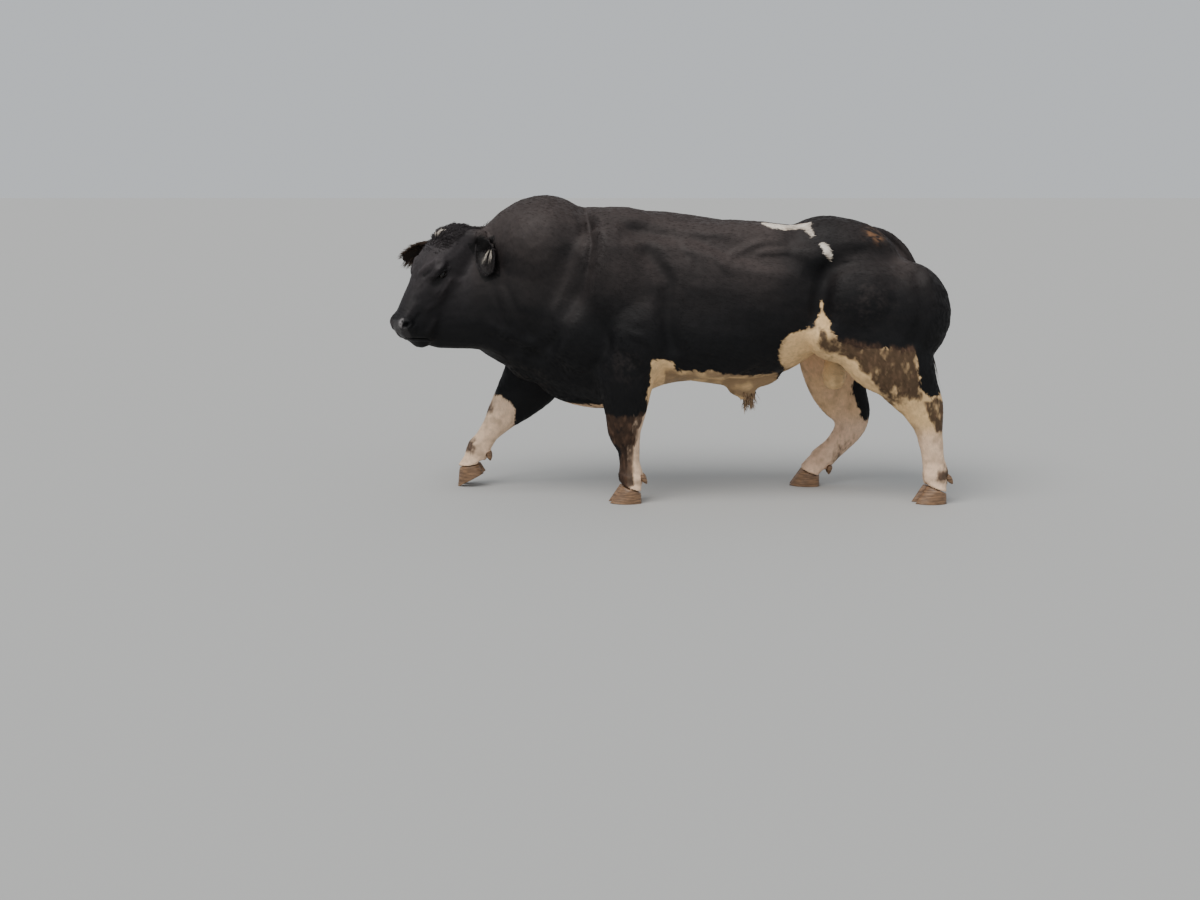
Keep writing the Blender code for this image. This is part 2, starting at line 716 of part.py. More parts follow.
def dewclaw(name, foot, side, grow):
    """A blunt horn cone behind the fetlock, its point down and back."""
    x, y, z, depth, width = LIMBS[foot][-2]
    behind = LIMBS[foot][-2][0] - LIMBS[foot][-1][0]
    drop = LIMBS[foot][-2][2] - LIMBS[foot][-1][2]
    along_leg = Vector((-behind, 0, -drop)).normalized()
    back = Vector((-along_leg.z, 0, along_leg.x))
    aim = (along_leg * 0.75 + back * 0.66).normalized()
    root = Vector((x, y + side * 0.46 * width, z)) + back * depth * 0.86 + along_leg * 0.004
    turn = Vector((0, 0, 1)).rotation_difference(aim).to_matrix().to_4x4()
    rings = []
    for along, share in ((-0.4, 0.75), (-0.05, 1.0), (0.4, 0.85), (0.8, 0.45), (0.95, 0.15)):
        reach = DEWCLAW_RADIUS * share + grow
        rings.append([
            (reach * math.cos(2 * math.pi * n / 8), reach * math.sin(2 * math.pi * n / 8),
             along * DEWCLAW_LENGTH + math.copysign(grow, along))
            for n in range(8)
        ])
    return loft(name, rings, Matrix.Translation(root) @ turn)


def tube(name, points, radii, count=8, matrix=None, closed=False):
    """A round rod through points, open-ended with flat ends or closed into a ring."""
    points = [Vector(point) for point in points]
    rings = []
    last = len(points) - 1
    lean = None
    for k, (point, radius) in enumerate(zip(points, radii)):
        before = points[k - 1] if closed or k > 0 else point
        after = points[(k + 1) % len(points)] if closed or k < last else point
        along = (after - before).normalized()
        if lean is None:
            lean = along.orthogonal().normalized()
        lean = (lean - along * lean.dot(along)).normalized()
        other = along.cross(lean)
        rings.append([
            point + (lean * math.cos(a) + other * math.sin(a)) * radius
            for a in (2 * math.pi * n / count for n in range(count))
        ])
    if not closed:
        return loft(name, rings, matrix)
    work = bmesh.new()
    loops = [[work.verts.new(point) for point in ring] for ring in rings]
    shift = min(range(count), key=lambda s: (loops[0][s].co - loops[-1][0].co).length)
    for k, first in enumerate(loops):
        second = loops[(k + 1) % len(loops)]
        turn = shift if k == len(loops) - 1 else 0
        for n in range(count):
            m = (n + 1) % count
            work.faces.new((first[n], first[m], second[(m + turn) % count],
                            second[(n + turn) % count]))
    bmesh.ops.recalc_face_normals(work, faces=work.faces)
    if matrix is not None:
        work.transform(matrix)
    mesh = bpy.data.meshes.new(name)
    work.to_mesh(mesh)
    work.free()
    return link(mesh, name, hidden=True)


def ball(name, centre, radius, hidden=False, segments=14, rings=8):
    work = bmesh.new()
    bmesh.ops.create_uvsphere(work, u_segments=segments, v_segments=rings, radius=radius)
    work.transform(Matrix.Translation(centre))
    mesh = bpy.data.meshes.new(name)
    work.to_mesh(mesh)
    work.free()
    return link(mesh, name, hidden)


def swollen(thing, name, by):
    """A hidden copy whose skin stands out by this much, to cut a socket with clearance."""
    mesh = thing.data.copy()
    set_points(mesh, points_of(mesh) + normals_of(mesh) * by)
    return link(mesh, name, hidden=True)


def surface_at(thing, start, aim):
    """Where a ray from the start first meets a mesh."""
    hit, place, normal, _ = thing.ray_cast(start, aim)
    if not hit:
        raise ValueError(f"no surface of {thing.name} from {tuple(start)}")
    return place, normal


def eye_frame(head, side):
    """The eyeball's middle, its way out, along the face and up the face, in the world."""
    frame = head_matrix()
    turn = frame.to_3x3()
    out = (turn @ Vector((0.22, side * 0.95, 0.12))).normalized()
    x, z = EYE_PLACE
    start = frame @ Vector((x, side * 0.5, z))
    inward = turn @ Vector((0, -side, 0))
    place, _ = surface_at(head, start, inward)
    along = (turn @ Vector((1, 0, 0)))
    along = (along - out * along.dot(out)).normalized()
    up = along.cross(out) * side
    slanted = along * math.cos(EYE_SLANT) + up * math.sin(EYE_SLANT)
    raised = up * math.cos(EYE_SLANT) - along * math.sin(EYE_SLANT)
    return place + out * (EYE_STANDS_OUT - EYE_RADIUS), out, slanted, raised


def lids(name, centre, out, along, up):
    """A ring of skin round the eye's opening, thicker above."""
    points, radii = [], []
    count = 18
    for n in range(count):
        angle = 2 * math.pi * n / count
        wide, high = EYE_OPENING
        rise = math.sin(angle)
        high = high * (1.0 if rise > 0 else 0.85)
        depth = EYE_RADIUS * 0.62 + 0.0045 * abs(rise) + 0.002 * max(rise, 0)
        points.append(centre + along * wide * math.cos(angle) + up * high * rise + out * depth)
        radii.append(LID_RADIUS * (1.15 if rise > 0.1 else 0.9))
    return tube(name, points, radii, 8, closed=True)


def ear_rings(root, aim, opens, grow=0.0):
    """Sections of a cupped ear, solid at its root and a thin shell further out."""
    across = aim.cross(opens).normalized()
    opens = across.cross(aim).normalized()
    rings = []
    for s, width, cup, skin in (
        (-0.14, 0.52, 1.00, 1.9),
        (0.05, 0.56, 1.00, 1.9),
        (0.20, 0.74, 0.86, 0.90),
        (0.36, 0.96, 0.66, 0.0),
        (0.55, 1.00, 0.50, 0.0),
        (0.72, 0.86, 0.42, 0.0),
        (0.87, 0.58, 0.36, 0.0),
        (0.97, 0.26, 0.40, 0.0),
        (1.00, 0.10, 0.60, 0.0),
    ):
        half = EAR_WIDTH * width
        depth = half * cup
        droop = -0.10 * max(s, 0) ** 2
        middle = root + aim * (s * EAR_LENGTH) + opens * (droop * EAR_LENGTH)
        if s in EAR_ENDS:
            middle += aim * math.copysign(grow, s)
        outer, inner = [], []
        for n in range(11):
            angle = math.pi * n / 10
            rim = grow if n in (0, 10) else 0.0
            outer.append(middle + across * (half + grow) * math.cos(angle)
                         - opens * ((depth + grow) * math.sin(angle) - rim))
        for n in range(1, 10):
            angle = math.pi * (1 - n / 10)
            if skin:
                reach = depth * (1 - skin)
            elif grow:
                reach = 0.0
            else:
                reach = max(depth - EAR_SKIN, 0.15 * depth)
            inner.append(middle + across * (half - 0.003 + grow) * math.cos(angle)
                         - opens * (reach - grow) * math.sin(angle))
        rings.append(outer + inner)
    return rings


def ear_axes(which):
    """The ear's root, the way it points, the way its cup opens and the way across it."""
    place, aim, opens = EARS[which]
    root = head_matrix() @ Vector(place)
    aim = Vector(aim).normalized()
    across = aim.cross(Vector(opens)).normalized()
    return root, aim, across.cross(aim).normalized(), across


def ear(name, which, grow=0.0):
    root, aim, opens, _ = ear_axes(which)
    return loft(name, ear_rings(root, aim, opens, grow))


def shown(thing):
    thing.hide_render = False
    thing.display_type = "TEXTURED"
    return thing


def mouth_path(head):
    """Points on the skin from one corner of the mouth round the front to the other."""
    frame = head_matrix()
    turn = frame.to_3x3()
    path = []
    for side in (LEFT, RIGHT):
        row = []
        for x, z in MOUTH_SIDE:
            start = frame @ Vector((x, side * 0.4, z))
            row.append(surface_at(head, start, turn @ Vector((0, -side, 0)))[0])
        path.append(row)
    front = []
    for y in (-MOUTH_FRONT, 0.0, MOUTH_FRONT):
        start = frame @ Vector((0.9, y, MOUTH_LEVEL))
        front.append(surface_at(head, start, turn @ Vector((-1, 0, 0)))[0])
    return path[0] + front + path[1][::-1]


def lock(name, path, width, thick, flat):
    """A flat tapered lock along a path; flat is the way its broad side faces."""
    shares = (0.75, 1.0, 0.85, 0.55, 0.12)
    path = spline(path, 2)
    path = [path[round(k * (len(path) - 1) / (len(shares) - 1))] for k in range(len(shares))]
    rings = []
    for k, (point, share) in enumerate(zip(path, shares)):
        before, after = path[max(k - 1, 0)], path[min(k + 1, len(path) - 1)]
        along = Vector(after - before).normalized()
        side = along.cross(flat).normalized()
        rise = side.cross(along)
        half = side * width / 2 * share
        lift = rise * max(thick * share, 0.0009) / 2
        point = Vector(point)
        rings.append([point + half, point + lift, point - half, point - lift])
    return loft(name, rings)


def poll_curls(head):
    """Rounded curls in rows over the poll and forehead, half sunk in the skin."""
    frame = head_matrix()
    down = frame.to_3x3() @ Vector((0.35, 0, -1)).normalized()
    rng = random.Random(SEED)
    curls = []
    for row, x in enumerate(POLL_ROWS):
        for n in range(POLL_CURLS):
            y = POLL_HALF_WIDTH * (2 * (n + 0.5 * (row % 2)) / POLL_CURLS - 0.9)
            y += rng.uniform(-0.005, 0.005)
            start = frame @ Vector((x - 0.105 + rng.uniform(-0.005, 0.005), y, 0.3))
            place, normal = surface_at(head, start, down)
            size = rng.uniform(0.85, 1.15)
            work = bmesh.new()
            bmesh.ops.create_uvsphere(work, u_segments=7, v_segments=4, radius=1.0)
            turn = Vector((0, 0, 1)).rotation_difference(normal).to_matrix().to_4x4()
            spin = Matrix.Rotation(rng.uniform(0, math.pi), 4, "Z")
            scale = Matrix.Diagonal([r * size for r in CURL_RADII] + [1])
            work.transform(Matrix.Translation(place - normal * 0.002) @ turn @ spin @ scale)
            mesh = bpy.data.meshes.new("curl")
            work.to_mesh(mesh)
            work.free()
            curls.append(link(mesh, f"curl_{row}_{n}", hidden=True))
    return curls


def ear_locks(which):
    """Long hairs that hang out of the ear's cup, as flat locks."""
    root, aim, opens, across = ear_axes(which)
    rng = random.Random(SEED + len(which))
    way = Vector(EAR_HAIR[which]).normalized()
    share, depth = EAR_HAIR_PLACE
    inside = across * EAR_WIDTH * share - opens * depth
    made = []
    for n in range(EAR_LOCKS):
        s = 0.30 + 0.30 * n / (EAR_LOCKS - 1)
        start = root + aim * (s * EAR_LENGTH) + inside
        length = rng.uniform(*EAR_LOCK_LENGTHS)
        path = [start - way * 0.004, start + way * length * 0.35,
                start + way * length * 0.7 + Vector((0, 0, -0.004)),
                start + way * length + Vector((0, 0, -0.012))]
        made.append(lock(f"ear_lock_{which}_{n}", path, 0.009, 0.004, opens))
    return made


def sheath_locks():
    """A tuft that hangs at the sheath's mouth."""
    rng = random.Random(SEED + 1)
    x, y, z = SHEATH_MOUTH
    made = []
    for n in range(SHEATH_LOCKS):
        angle = 2 * math.pi * n / SHEATH_LOCKS
        out = Vector((math.cos(angle), math.sin(angle), 0))
        start = Vector((x, y, z)) + Vector((0.030 * out.x, 0.010 * out.y, 0.012))
        length = rng.uniform(*SHEATH_LOCK_LENGTHS)
        path = [start, start + out * 0.004 - Vector((0, 0, length * 0.4)),
                start + out * 0.005 - Vector((0, 0, length * 0.75)),
                start + out * 0.002 - Vector((0, 0, length))]
        made.append(lock(f"sheath_lock_{n}", path, 0.018, 0.007, out))
    return made


def switch():
    """The tail's switch: a core with flat locks that hang from it all round."""
    rows = spline(SWITCH, 2)
    core = shown(tube("tail_switch", [row[:3] for row in rows], [row[3] for row in rows], 8))
    rng = random.Random(SEED + 2)
    golden = math.radians(137.5)
    made = []
    for n in range(SWITCH_LOCKS):
        share = (n + 0.5) / SWITCH_LOCKS
        at = rows[1 + round(share * (len(rows) - 4))]
        below = rows[3 + round(share * (len(rows) - 4))]
        down = Vector(below[:3] - at[:3]).normalized()
        out = Vector((math.cos(golden * n), math.sin(golden * n), 0))
        start = Vector(at[:3]) + out * at[3] * 0.55
        length = min(rng.uniform(*SWITCH_LOCK_LENGTHS), (start.z - SWITCH_TIP) / -down.z)
        path = [start, start + down * length * 0.35 + out * 0.010,
                start + down * length * 0.7 + out * 0.010, start + down * length + out * 0.003]
        made.append(lock(f"switch_lock_{n}", path, rng.uniform(0.016, 0.022), 0.008, out))
    return combine(core, made, "UNION")


def face(head, neck):
    """Adds lids to the head, and cuts its sockets, nostrils and mouth line."""
    frame = head_matrix()
    eyes, skin, cuts, ears, rooms = [], [], [], [], []
    for side, which in ((LEFT, "left"), (RIGHT, "right")):
        local = -side
        centre, out, along, up = eye_frame(head, local)
        skin.append(lids(f"lids_{which}", centre, out, along, up))
        eyes.append(ball(f"eye_{which}", centre, EYE_RADIUS))
        cuts.append(ball(f"eye_socket_{which}", centre, EYE_RADIUS + GAP, hidden=True))
        x, y, z = NOSTRIL_PLACE
        nostril = Matrix.Translation((x, local * y, z))
        nostril = nostril @ Matrix.Rotation(local * math.radians(28), 4, "Z")
        nostril = nostril @ Matrix.Rotation(math.radians(35), 4, "Y")
        cuts.append(belly(f"nostril_{which}", (0, 0, 0), (0.028, 0.011, 0.016), 0,
                          frame @ nostril))
        lobe = shown(ear(f"ear_{which}", which))
        combine(lobe, ear_locks(which), "UNION")
        ears.append(lobe)
        rooms.append(ear(f"ear_room_{which}", which, EAR_CLEARANCE))
    combine(head, skin + poll_curls(head), "UNION")
    line = tube("mouth_line", mouth_path(head), [0.0045] * 11, 6)
    combine(head, cuts + [line], "DIFFERENCE")
    for room in rooms:
        combine(neck, [room], "DIFFERENCE", "MANIFOLD", keep=True)
        combine(head, [room], "DIFFERENCE", "MANIFOLD")
    return eyes, ears


def paint(thing, name, color, roughness, specular=0.5):
    """A plain material of this object's own."""
    material = bpy.data.materials.new(f"{thing.name}_{name}")
    material.use_nodes = True
    shader = material.node_tree.nodes["Principled BSDF"]
    shader.inputs["Base Color"].default_value = (*color, 1)
    shader.inputs["Roughness"].default_value = roughness
    shader.inputs["Metallic"].default_value = 0.0
    shader.inputs["Specular IOR Level"].default_value = specular
    thing.data.materials.clear()
    thing.data.materials.append(material)


def main():
    for old in list(bpy.data.objects):
        bpy.data.objects.remove(old)
    body = flesh()
    fine = thin(copied(body, "fine"), HEAD_FINENESS)
    thin(body, FLESH_TRIANGLES)
    head, neck, torso, legs = parted(body, fine)
    bpy.data.objects.remove(body)
    bpy.data.objects.remove(fine)
    eyes, ears = face(head, neck)
    claws, dewclaws = [], []
    for name, leg in legs.items():
        feet, digits, horns, sockets = claws_and_digits(name)
        place = foot_matrix(name)
        slope = Vector((CORONET_FRONT - CORONET_HEEL, 0, CLAW_LENGTH - CORONET_BACK))
        above = Vector((-CLAW_LENGTH / 2 + CORONET_BACK, 0, CORONET_FRONT + CORONET_TRIM))
        halved(leg, place @ above, place.to_3x3() @ slope.normalized())
        combine(leg, digits, "UNION")
        combine(leg, sockets, "DIFFERENCE")
        claws += feet
        dewclaws += horns
    tail_points = spline(TAIL, 2)
    tail_path = [row[:3] for row in tail_points]
    tail_radii = [row[3] for row in tail_points]
    tail = shown(tube("tail", tail_path, tail_radii, 10))
    groove = swollen(tail, "tail_groove", 2 * GAP)
    brush = switch()
    room = tube("switch_room", [row[:3] for row in spline(SWITCH, 2)] + [(1.33, 0, 0.42)],
                [SWITCH_ROOM] * 10, 12)
    sac = shown(loft("scrotum", limb_rings(SCROTUM, 3, 14)))
    sac_socket = swollen(sac, "scrotum_socket", 2 * GAP)
    combine(torso, sheath_locks(), "UNION")
    combine(torso, [groove, sac_socket, room], "DIFFERENCE")
    black, white, horn = (0.022, 0.019, 0.018), (0.62, 0.55, 0.45), (0.25, 0.17, 0.11)
    for thing in (head, neck, torso, tail, brush, *ears):
        paint(thing, "black_coat", black, 0.6)
    for thing in (*legs.values(), sac):
        paint(thing, "white_coat", white, 0.7)
    for thing in (*claws, *dewclaws):
        paint(thing, "horn", horn, 0.5)
    for thing in eyes:
        paint(thing, "eye", (0.01, 0.007, 0.005), 0.08)
    things = [head, neck, torso, tail, brush, sac, *ears, *eyes, *legs.values(), *claws, *dewclaws]
    collect(things, MODEL_NAME)
    centre(things)


def collect(things, name):
    """Puts the parts into one collection of their own."""
    home = bpy.data.collections.new(name)
    bpy.context.scene.collection.children.link(home)
    for thing in things:
        for old in list(thing.users_collection):
            old.objects.unlink(thing)
        home.objects.link(thing)


def centre(things):
    """Moves the model so that the middle of its box lies over the origin."""
    spread = np.concatenate([points_of(thing.data) for thing in things])
    low, high = spread.min(axis=0), spread.max(axis=0)
    shift = Vector((-(low[0] + high[0]) / 2, -(low[1] + high[1]) / 2, 0))
    for thing in things:
        thing.data.transform(Matrix.Translation(shift))


main()
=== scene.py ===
"""Looks of the walking beef bull: one skin, its coat in tufts, eyes, claws and a plain studio.

Metres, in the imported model's frame: the bull walks towards -X and its left side faces -Y.
"""
import math
from contextlib import contextmanager

import bmesh
import bpy
import numpy as np
from mathutils import Matrix, Vector
from mathutils.bvhtree import BVHTree


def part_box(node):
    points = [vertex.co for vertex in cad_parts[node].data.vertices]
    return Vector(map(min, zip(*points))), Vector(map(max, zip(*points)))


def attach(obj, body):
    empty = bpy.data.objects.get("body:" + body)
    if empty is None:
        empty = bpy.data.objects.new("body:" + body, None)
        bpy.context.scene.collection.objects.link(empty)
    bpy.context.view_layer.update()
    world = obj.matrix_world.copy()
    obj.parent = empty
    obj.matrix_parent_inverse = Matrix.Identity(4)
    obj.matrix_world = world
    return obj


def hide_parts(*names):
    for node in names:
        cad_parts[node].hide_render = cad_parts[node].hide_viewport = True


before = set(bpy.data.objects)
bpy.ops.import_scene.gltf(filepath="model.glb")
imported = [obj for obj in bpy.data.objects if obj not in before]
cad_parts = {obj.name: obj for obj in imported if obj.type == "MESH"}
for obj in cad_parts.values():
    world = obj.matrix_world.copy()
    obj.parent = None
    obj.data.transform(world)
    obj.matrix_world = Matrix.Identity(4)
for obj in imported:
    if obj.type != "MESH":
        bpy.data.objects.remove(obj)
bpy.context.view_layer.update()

# How far the model's origin lies from that of the body plan that the places below are given in
PLAN = Vector((0.01895, 0.0, 0.0))
SEED = 7
ROOT = "root"
NOISE_PRIMES = np.array([73856093, 19349663, 83492791])
NOISE_SEED_STEP = 2654435761
NOISE_STIR = 2246822519

# Camera of the photo: place, tilt below level, lens and width of the sensor in millimetres
CAMERA_PLACE = Vector((-0.37, -8.4, 1.6))
CAMERA_DOWN = math.radians(9.3067)
CAMERA_LENS = 50.01
SENSOR_WIDTH = 36

# Skin: how far nodes are swollen over their cuts, weld distance, depth of the coat, grid of the
# fused surface, rounds of smoothing and faces of the coarse unwrap
SWELL = 0.0025
WELD = 0.00002
COAT_DEPTH = 0.0035
SKIN_VOXEL = 0.0068
BODY_SMOOTHING = 26
EASED_SMOOTHING = 130
UNWRAP_FACES = 26000
FLESH = ["head", "neck", "torso", "scrotum", "tail", "tail_switch"]
LEGS = ["leg_front_left", "leg_front_right", "leg_hind_left", "leg_hind_right"]

# Head frame: the poll's place, pitch and turn, as in the solids
POLL = Vector((-1.125, -0.02, 1.36)) + PLAN
HEAD_PITCH = math.radians(53)
HEAD_YAW = math.radians(33)
# In the body plan's x: where the neck ends, and where the head's own colours start
HEAD_FROM = -0.9
HEAD_COLOURS_FROM = -0.95

# Colours, linear
BLACK = (0.0035, 0.0034, 0.0041)
BROWN_SHEEN = (0.056, 0.043, 0.040)
HEAD_SHEEN = (0.048, 0.044, 0.050)
CREAM = (0.82, 0.55, 0.28)
WHITE = (0.80, 0.72, 0.62)
CANNON = (0.82, 0.585, 0.405)
MUD = (0.062, 0.034, 0.021)
# Dirt, also used for painted shade under the belly
GRIME_AND_SHADE = (0.16, 0.10, 0.060)
PINK = (0.64, 0.42, 0.30)
RUST = (0.30, 0.15, 0.070)
SWITCH_MUD = (0.20, 0.125, 0.070)
SHEATH_COLOURS = ((0.50, 0.34, 0.21), (0.22, 0.14, 0.085))
PAD_COLOUR = (0.030, 0.027, 0.027)
# Painted highlight of the wet nose over the nostrils' rims
NOSTRIL_HIGHLIGHT_COLOUR = (0.30, 0.28, 0.28)
LIP_COLOUR = (0.05, 0.045, 0.045)
EYE_RIM_COLOUR = (0.006, 0.005, 0.005)
# Painted shade in the hollow at the eye's front corner
EYE_HOLLOW_SHADE = (0.004, 0.004, 0.004)
EAR_BROWN = (0.070, 0.046, 0.034)
# Painted shade inside the ear's cup
EAR_CUP_SHADE = (0.003, 0.0026, 0.0026)
EAR_PALE = (0.62, 0.56, 0.48)
IRIS_COLOUR = (0.008, 0.006, 0.005)
PUPIL_COLOUR = (0.002, 0.002, 0.003)
IRIS_RIM_COLOUR = (0.012, 0.008, 0.007)
EYE_WHITE_COLOUR = (0.020, 0.015, 0.014)
LASH_COLOUR = (0.012, 0.010, 0.009)
HORN_COLOURS = ((0.30, (0.070, 0.036, 0.019)), (0.72, (0.34, 0.195, 0.100)))


def head_matrix():
    """From the head's frame, x down the face and z out of the forehead, to the model's."""
    turn = Matrix.Rotation(math.pi + HEAD_YAW, 4, "Z") @ Matrix.Rotation(HEAD_PITCH, 4, "Y")
    return Matrix.Translation(POLL) @ turn


HEAD = head_matrix()
HEAD_INVERSE = np.array(HEAD.inverted())


def in_head(points):
    """Points in the head's own frame."""
    return (np.c_[points, np.ones(len(points))] @ HEAD_INVERSE.T)[:, :3]


def half_head(points):
    """Points in the head's frame, with the right half laid on the left."""
    local = in_head(points)
    local[:, 1] = np.abs(local[:, 1])
    return local


def in_plan(points):
    """Points from the body plan's own origin."""
    return points - np.array(PLAN)


def values_of(items, field, width, kind=np.float32):
    """One field of all of a mesh's items, as an array with a row for each."""
    flat = np.empty(len(items) * width, kind)
    items.foreach_get(field, flat)
    return flat.reshape(-1, width)


def points_of(mesh):
    return values_of(mesh.vertices, "co", 3).astype(float)


def normals_of(mesh):
    return values_of(mesh.vertex_normals, "vector", 3).astype(float)


def set_points(mesh, points):
    mesh.vertices.foreach_set("co", points.astype(np.float32).ravel())
    mesh.update()


def ramp(value, low, high):
    """0 below low, 1 above high, and smooth between."""
    t = np.clip((value - low) / (high - low), 0, 1)
    return t * t * (3 - 2 * t)


def bell(value, half=1.0):
    """1 at 0, and smoothly less on both sides over about this half width."""
    return np.exp(-((value / half) ** 2))


def mix(colour, other, share):
    """A colour turned towards another by the share at each point; ways mix the same."""
    share = share[:, None]
    return np.array(colour) * (1 - share) + np.array(other) * share


def patches(x, z, spots):
    """Soft round patches seen from the side: middle x and z, half width and half height."""
    return sum(bell(x - at_x, wide) * bell(z - at_z, high) for at_x, at_z, wide, high in spots)


def unit(vectors):
    return vectors / np.maximum(np.linalg.norm(vectors, axis=1, keepdims=True), 1e-9)


def noise(points, size, seed=0):
    """Smooth random values from -1 to 1 that change over about this distance."""
    grid = points / size + 1000.0
    cell = np.floor(grid).astype(np.int64)
    part = grid - cell
    part = part * part * (3 - 2 * part)
    total = np.zeros(len(points))
    for corner in range(8):
        step = np.array([(corner >> k) & 1 for k in range(3)])
        at = (cell + step) * NOISE_PRIMES
        mixed = (at[:, 0] ^ at[:, 1] ^ at[:, 2] ^ (seed * NOISE_SEED_STEP)) & 0xFFFFFFFF
        mixed = ((mixed ^ (mixed >> 15)) * NOISE_STIR) & 0xFFFFFFFF
        mixed = (mixed ^ (mixed >> 13)) & 0xFFFF
        weight = np.prod(np.where(step == 1, part, 1 - part), axis=1)
        total += weight * (mixed / 32767.5 - 1)
    return total


def distance_to_path(points, path, closed=False):
    """How far each point is from a line through the path's points."""
    best = np.full(len(points), np.inf)
    ends = path[1:] + path[:1] if closed else path[1:]
    for a, b in zip(path, ends):
        a, b = np.array(a, float), np.array(b, float)
        along = b - a
        t = np.clip((points - a) @ along / max(along @ along, 1e-12), 0, 1)
        best = np.minimum(best, np.linalg.norm(points - a - t[:, None] * along, axis=1))
    return best


def inside_by(points, outline):
    """How far inside a flat outline each point lies; less than 0 outside."""
    away = distance_to_path(points, outline, closed=True)
    inside = np.zeros(len(points), bool)
    x, z = points[:, 0], points[:, 1]
    for (ax, az), (bx, bz) in zip(outline, outline[1:] + outline[:1]):
        if az == bz:
            continue
        crosses = (az > z) != (bz > z)
        inside ^= crosses & (x < (bx - ax) * (z - az) / (bz - az) + ax)
    return np.where(inside, away, -away)


def link(mesh, name):
    thing = bpy.data.objects.new(name, mesh)
    bpy.context.scene.collection.objects.link(thing)
    return thing


@contextmanager
def edited(mesh):
    """The mesh as a bmesh, written back at the end."""
    work = bmesh.new()
    work.from_mesh(mesh)
    yield work
    work.to_mesh(mesh)
    work.free()


def modified(thing, kind, **values):
    """Adds one modifier, set as given, and makes it part of the object's mesh."""
    step = thing.modifiers.new(kind, kind)
    for name, value in values.items():
        setattr(step, name, value)
    graph = bpy.context.evaluated_depsgraph_get()
    mesh = bpy.data.meshes.new_from_object(thing.evaluated_get(graph))
    thing.modifiers.clear()
    thing.data = mesh


def smoothed(thing, weights, iterations):
    """Relaxes the surface, more where the weight is higher."""
    group = thing.vertex_groups.new(name="soft")
    steps = np.round(np.clip(weights, 0, 1) * 20).astype(int)
    for step in range(1, 21):
        group.add(np.nonzero(steps == step)[0].tolist(), step / 20, "REPLACE")
    modified(thing, "SMOOTH", factor=0.5, iterations=iterations, vertex_group="soft")
    thing.vertex_groups.clear()


def mesh_from(name, points, faces):
    """A mesh from an array of points and an array of faces with equal corner counts."""
    mesh = bpy.data.meshes.new(name)
    faces = np.asarray(faces, np.int32)
    mesh.vertices.add(len(points))
    mesh.vertices.foreach_set("co", np.asarray(points, np.float32).ravel())
    mesh.loops.add(faces.size)
    mesh.loops.foreach_set("vertex_index", faces.ravel())
    mesh.polygons.add(len(faces))
    mesh.polygons.foreach_set("loop_start", np.arange(0, faces.size, faces.shape[1]))
    mesh.update(calc_edges=True)
    return mesh


def ring_faces(rings, count):
    """Triangles between rings of points that follow one another."""
    faces = []
    for k in range(rings - 1):
        for n in range(count):
            a, b, m = k * count, (k + 1) * count, (n + 1) % count
            faces += [(a + n, a + m, b + m), (a + n, b + m, b + n)]
    return faces


def largest(mesh):
    """Keeps only the biggest closed surface of a mesh."""
    edges = values_of(mesh.edges, "vertices", 2, np.int32)
    label = np.arange(len(mesh.vertices))
    before = None
    while before is None or (label != before).any():
        low = np.minimum(label[edges[:, 0]], label[edges[:, 1]])
        before = label.copy()
        np.minimum.at(label, edges[:, 0], low)
        np.minimum.at(label, edges[:, 1], low)
        label = label[label]
    names, sizes = np.unique(label, return_counts=True)
    if len(names) == 1:
        return
    with edited(mesh) as work:
        work.verts.ensure_lookup_table()
        loose = [work.verts[k] for k in np.nonzero(label != names[sizes.argmax()])[0]]
        bmesh.ops.delete(work, geom=loose, context="VERTS")


def paint_attribute(mesh, name, colours):
    """Stores one colour for each vertex."""
    layer = mesh.color_attributes.new(name=name, type="FLOAT_COLOR", domain="POINT")
    full = np.c_[colours, np.ones(len(colours))].astype(np.float32)
    layer.data.foreach_set("color", full.ravel())


def finished(thing, material, slot, *nodes):
    """Gives a piece its one material, smooth shading and body, and hides the nodes it replaces; the
    slot is not used.
    """
    mesh = thing.data
    mesh.materials.clear()
    mesh.materials.append(material)
    mesh.polygons.foreach_set("material_index", np.zeros(len(mesh.polygons), np.int32))
    mesh.polygons.foreach_set("use_smooth", np.ones(len(mesh.polygons), bool))
    mesh.update()
    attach(thing, ROOT)
    if nodes:
        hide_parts(*nodes)


# Markings, as outlines in the body plan seen from the left: x and z
FLANK_WHITE = [(0.703, 1.031), (0.695, 0.95), (0.67, 0.886), (0.60, 0.86), (0.53, 0.834),
               (0.511, 0.789), (0.506, 0.728), (0.533, 0.678), (0.60, 0.62), (1.00, 0.50),
               (1.185, 0.50), (1.185, 0.66), (1.15, 0.765), (1.02, 0.782), (0.889, 0.782),
               (0.80, 0.805), (0.748, 0.86), (0.727, 0.95)]
ELBOW_WHITE = [(-0.122, 0.732), (-0.02, 0.712), (0.001, 0.668), (0.102, 0.662), (0.184, 0.665),
               (0.286, 0.64), (0.388, 0.624), (0.51, 0.64), (0.55, 0.50), (-0.14, 0.45)]
HIP_WHITE = [(0.694, 1.280), (0.716, 1.283), (0.740, 1.263), (0.750, 1.237), (0.762, 1.227),
             (0.754, 1.219), (0.746, 1.206), (0.726, 1.216), (0.706, 1.246)]
LOIN_EDGE = [(0.425, 1.45), (0.425, 1.371), (0.470, 1.350), (0.540, 1.344), (0.580, 1.347),
             (0.610, 1.349), (0.632, 1.340), (0.655, 1.312), (0.670, 1.320), (0.658, 1.358),
             (0.675, 1.40), (0.675, 1.45)]
FAR_FLANK_WHITE = [(0.640, 0.98), (0.625, 0.90), (0.57, 0.86), (0.50, 0.80), (0.50, 0.70),
                   (0.60, 0.60), (1.10, 0.55), (1.12, 0.70), (0.95, 0.745), (0.80, 0.775),
                   (0.68, 0.84), (0.655, 0.92)]
LOIN_STREAK = [(0.430, -0.010), (0.690, -0.010), (0.690, 0.050), (0.600, 0.055), (0.50, 0.030)]
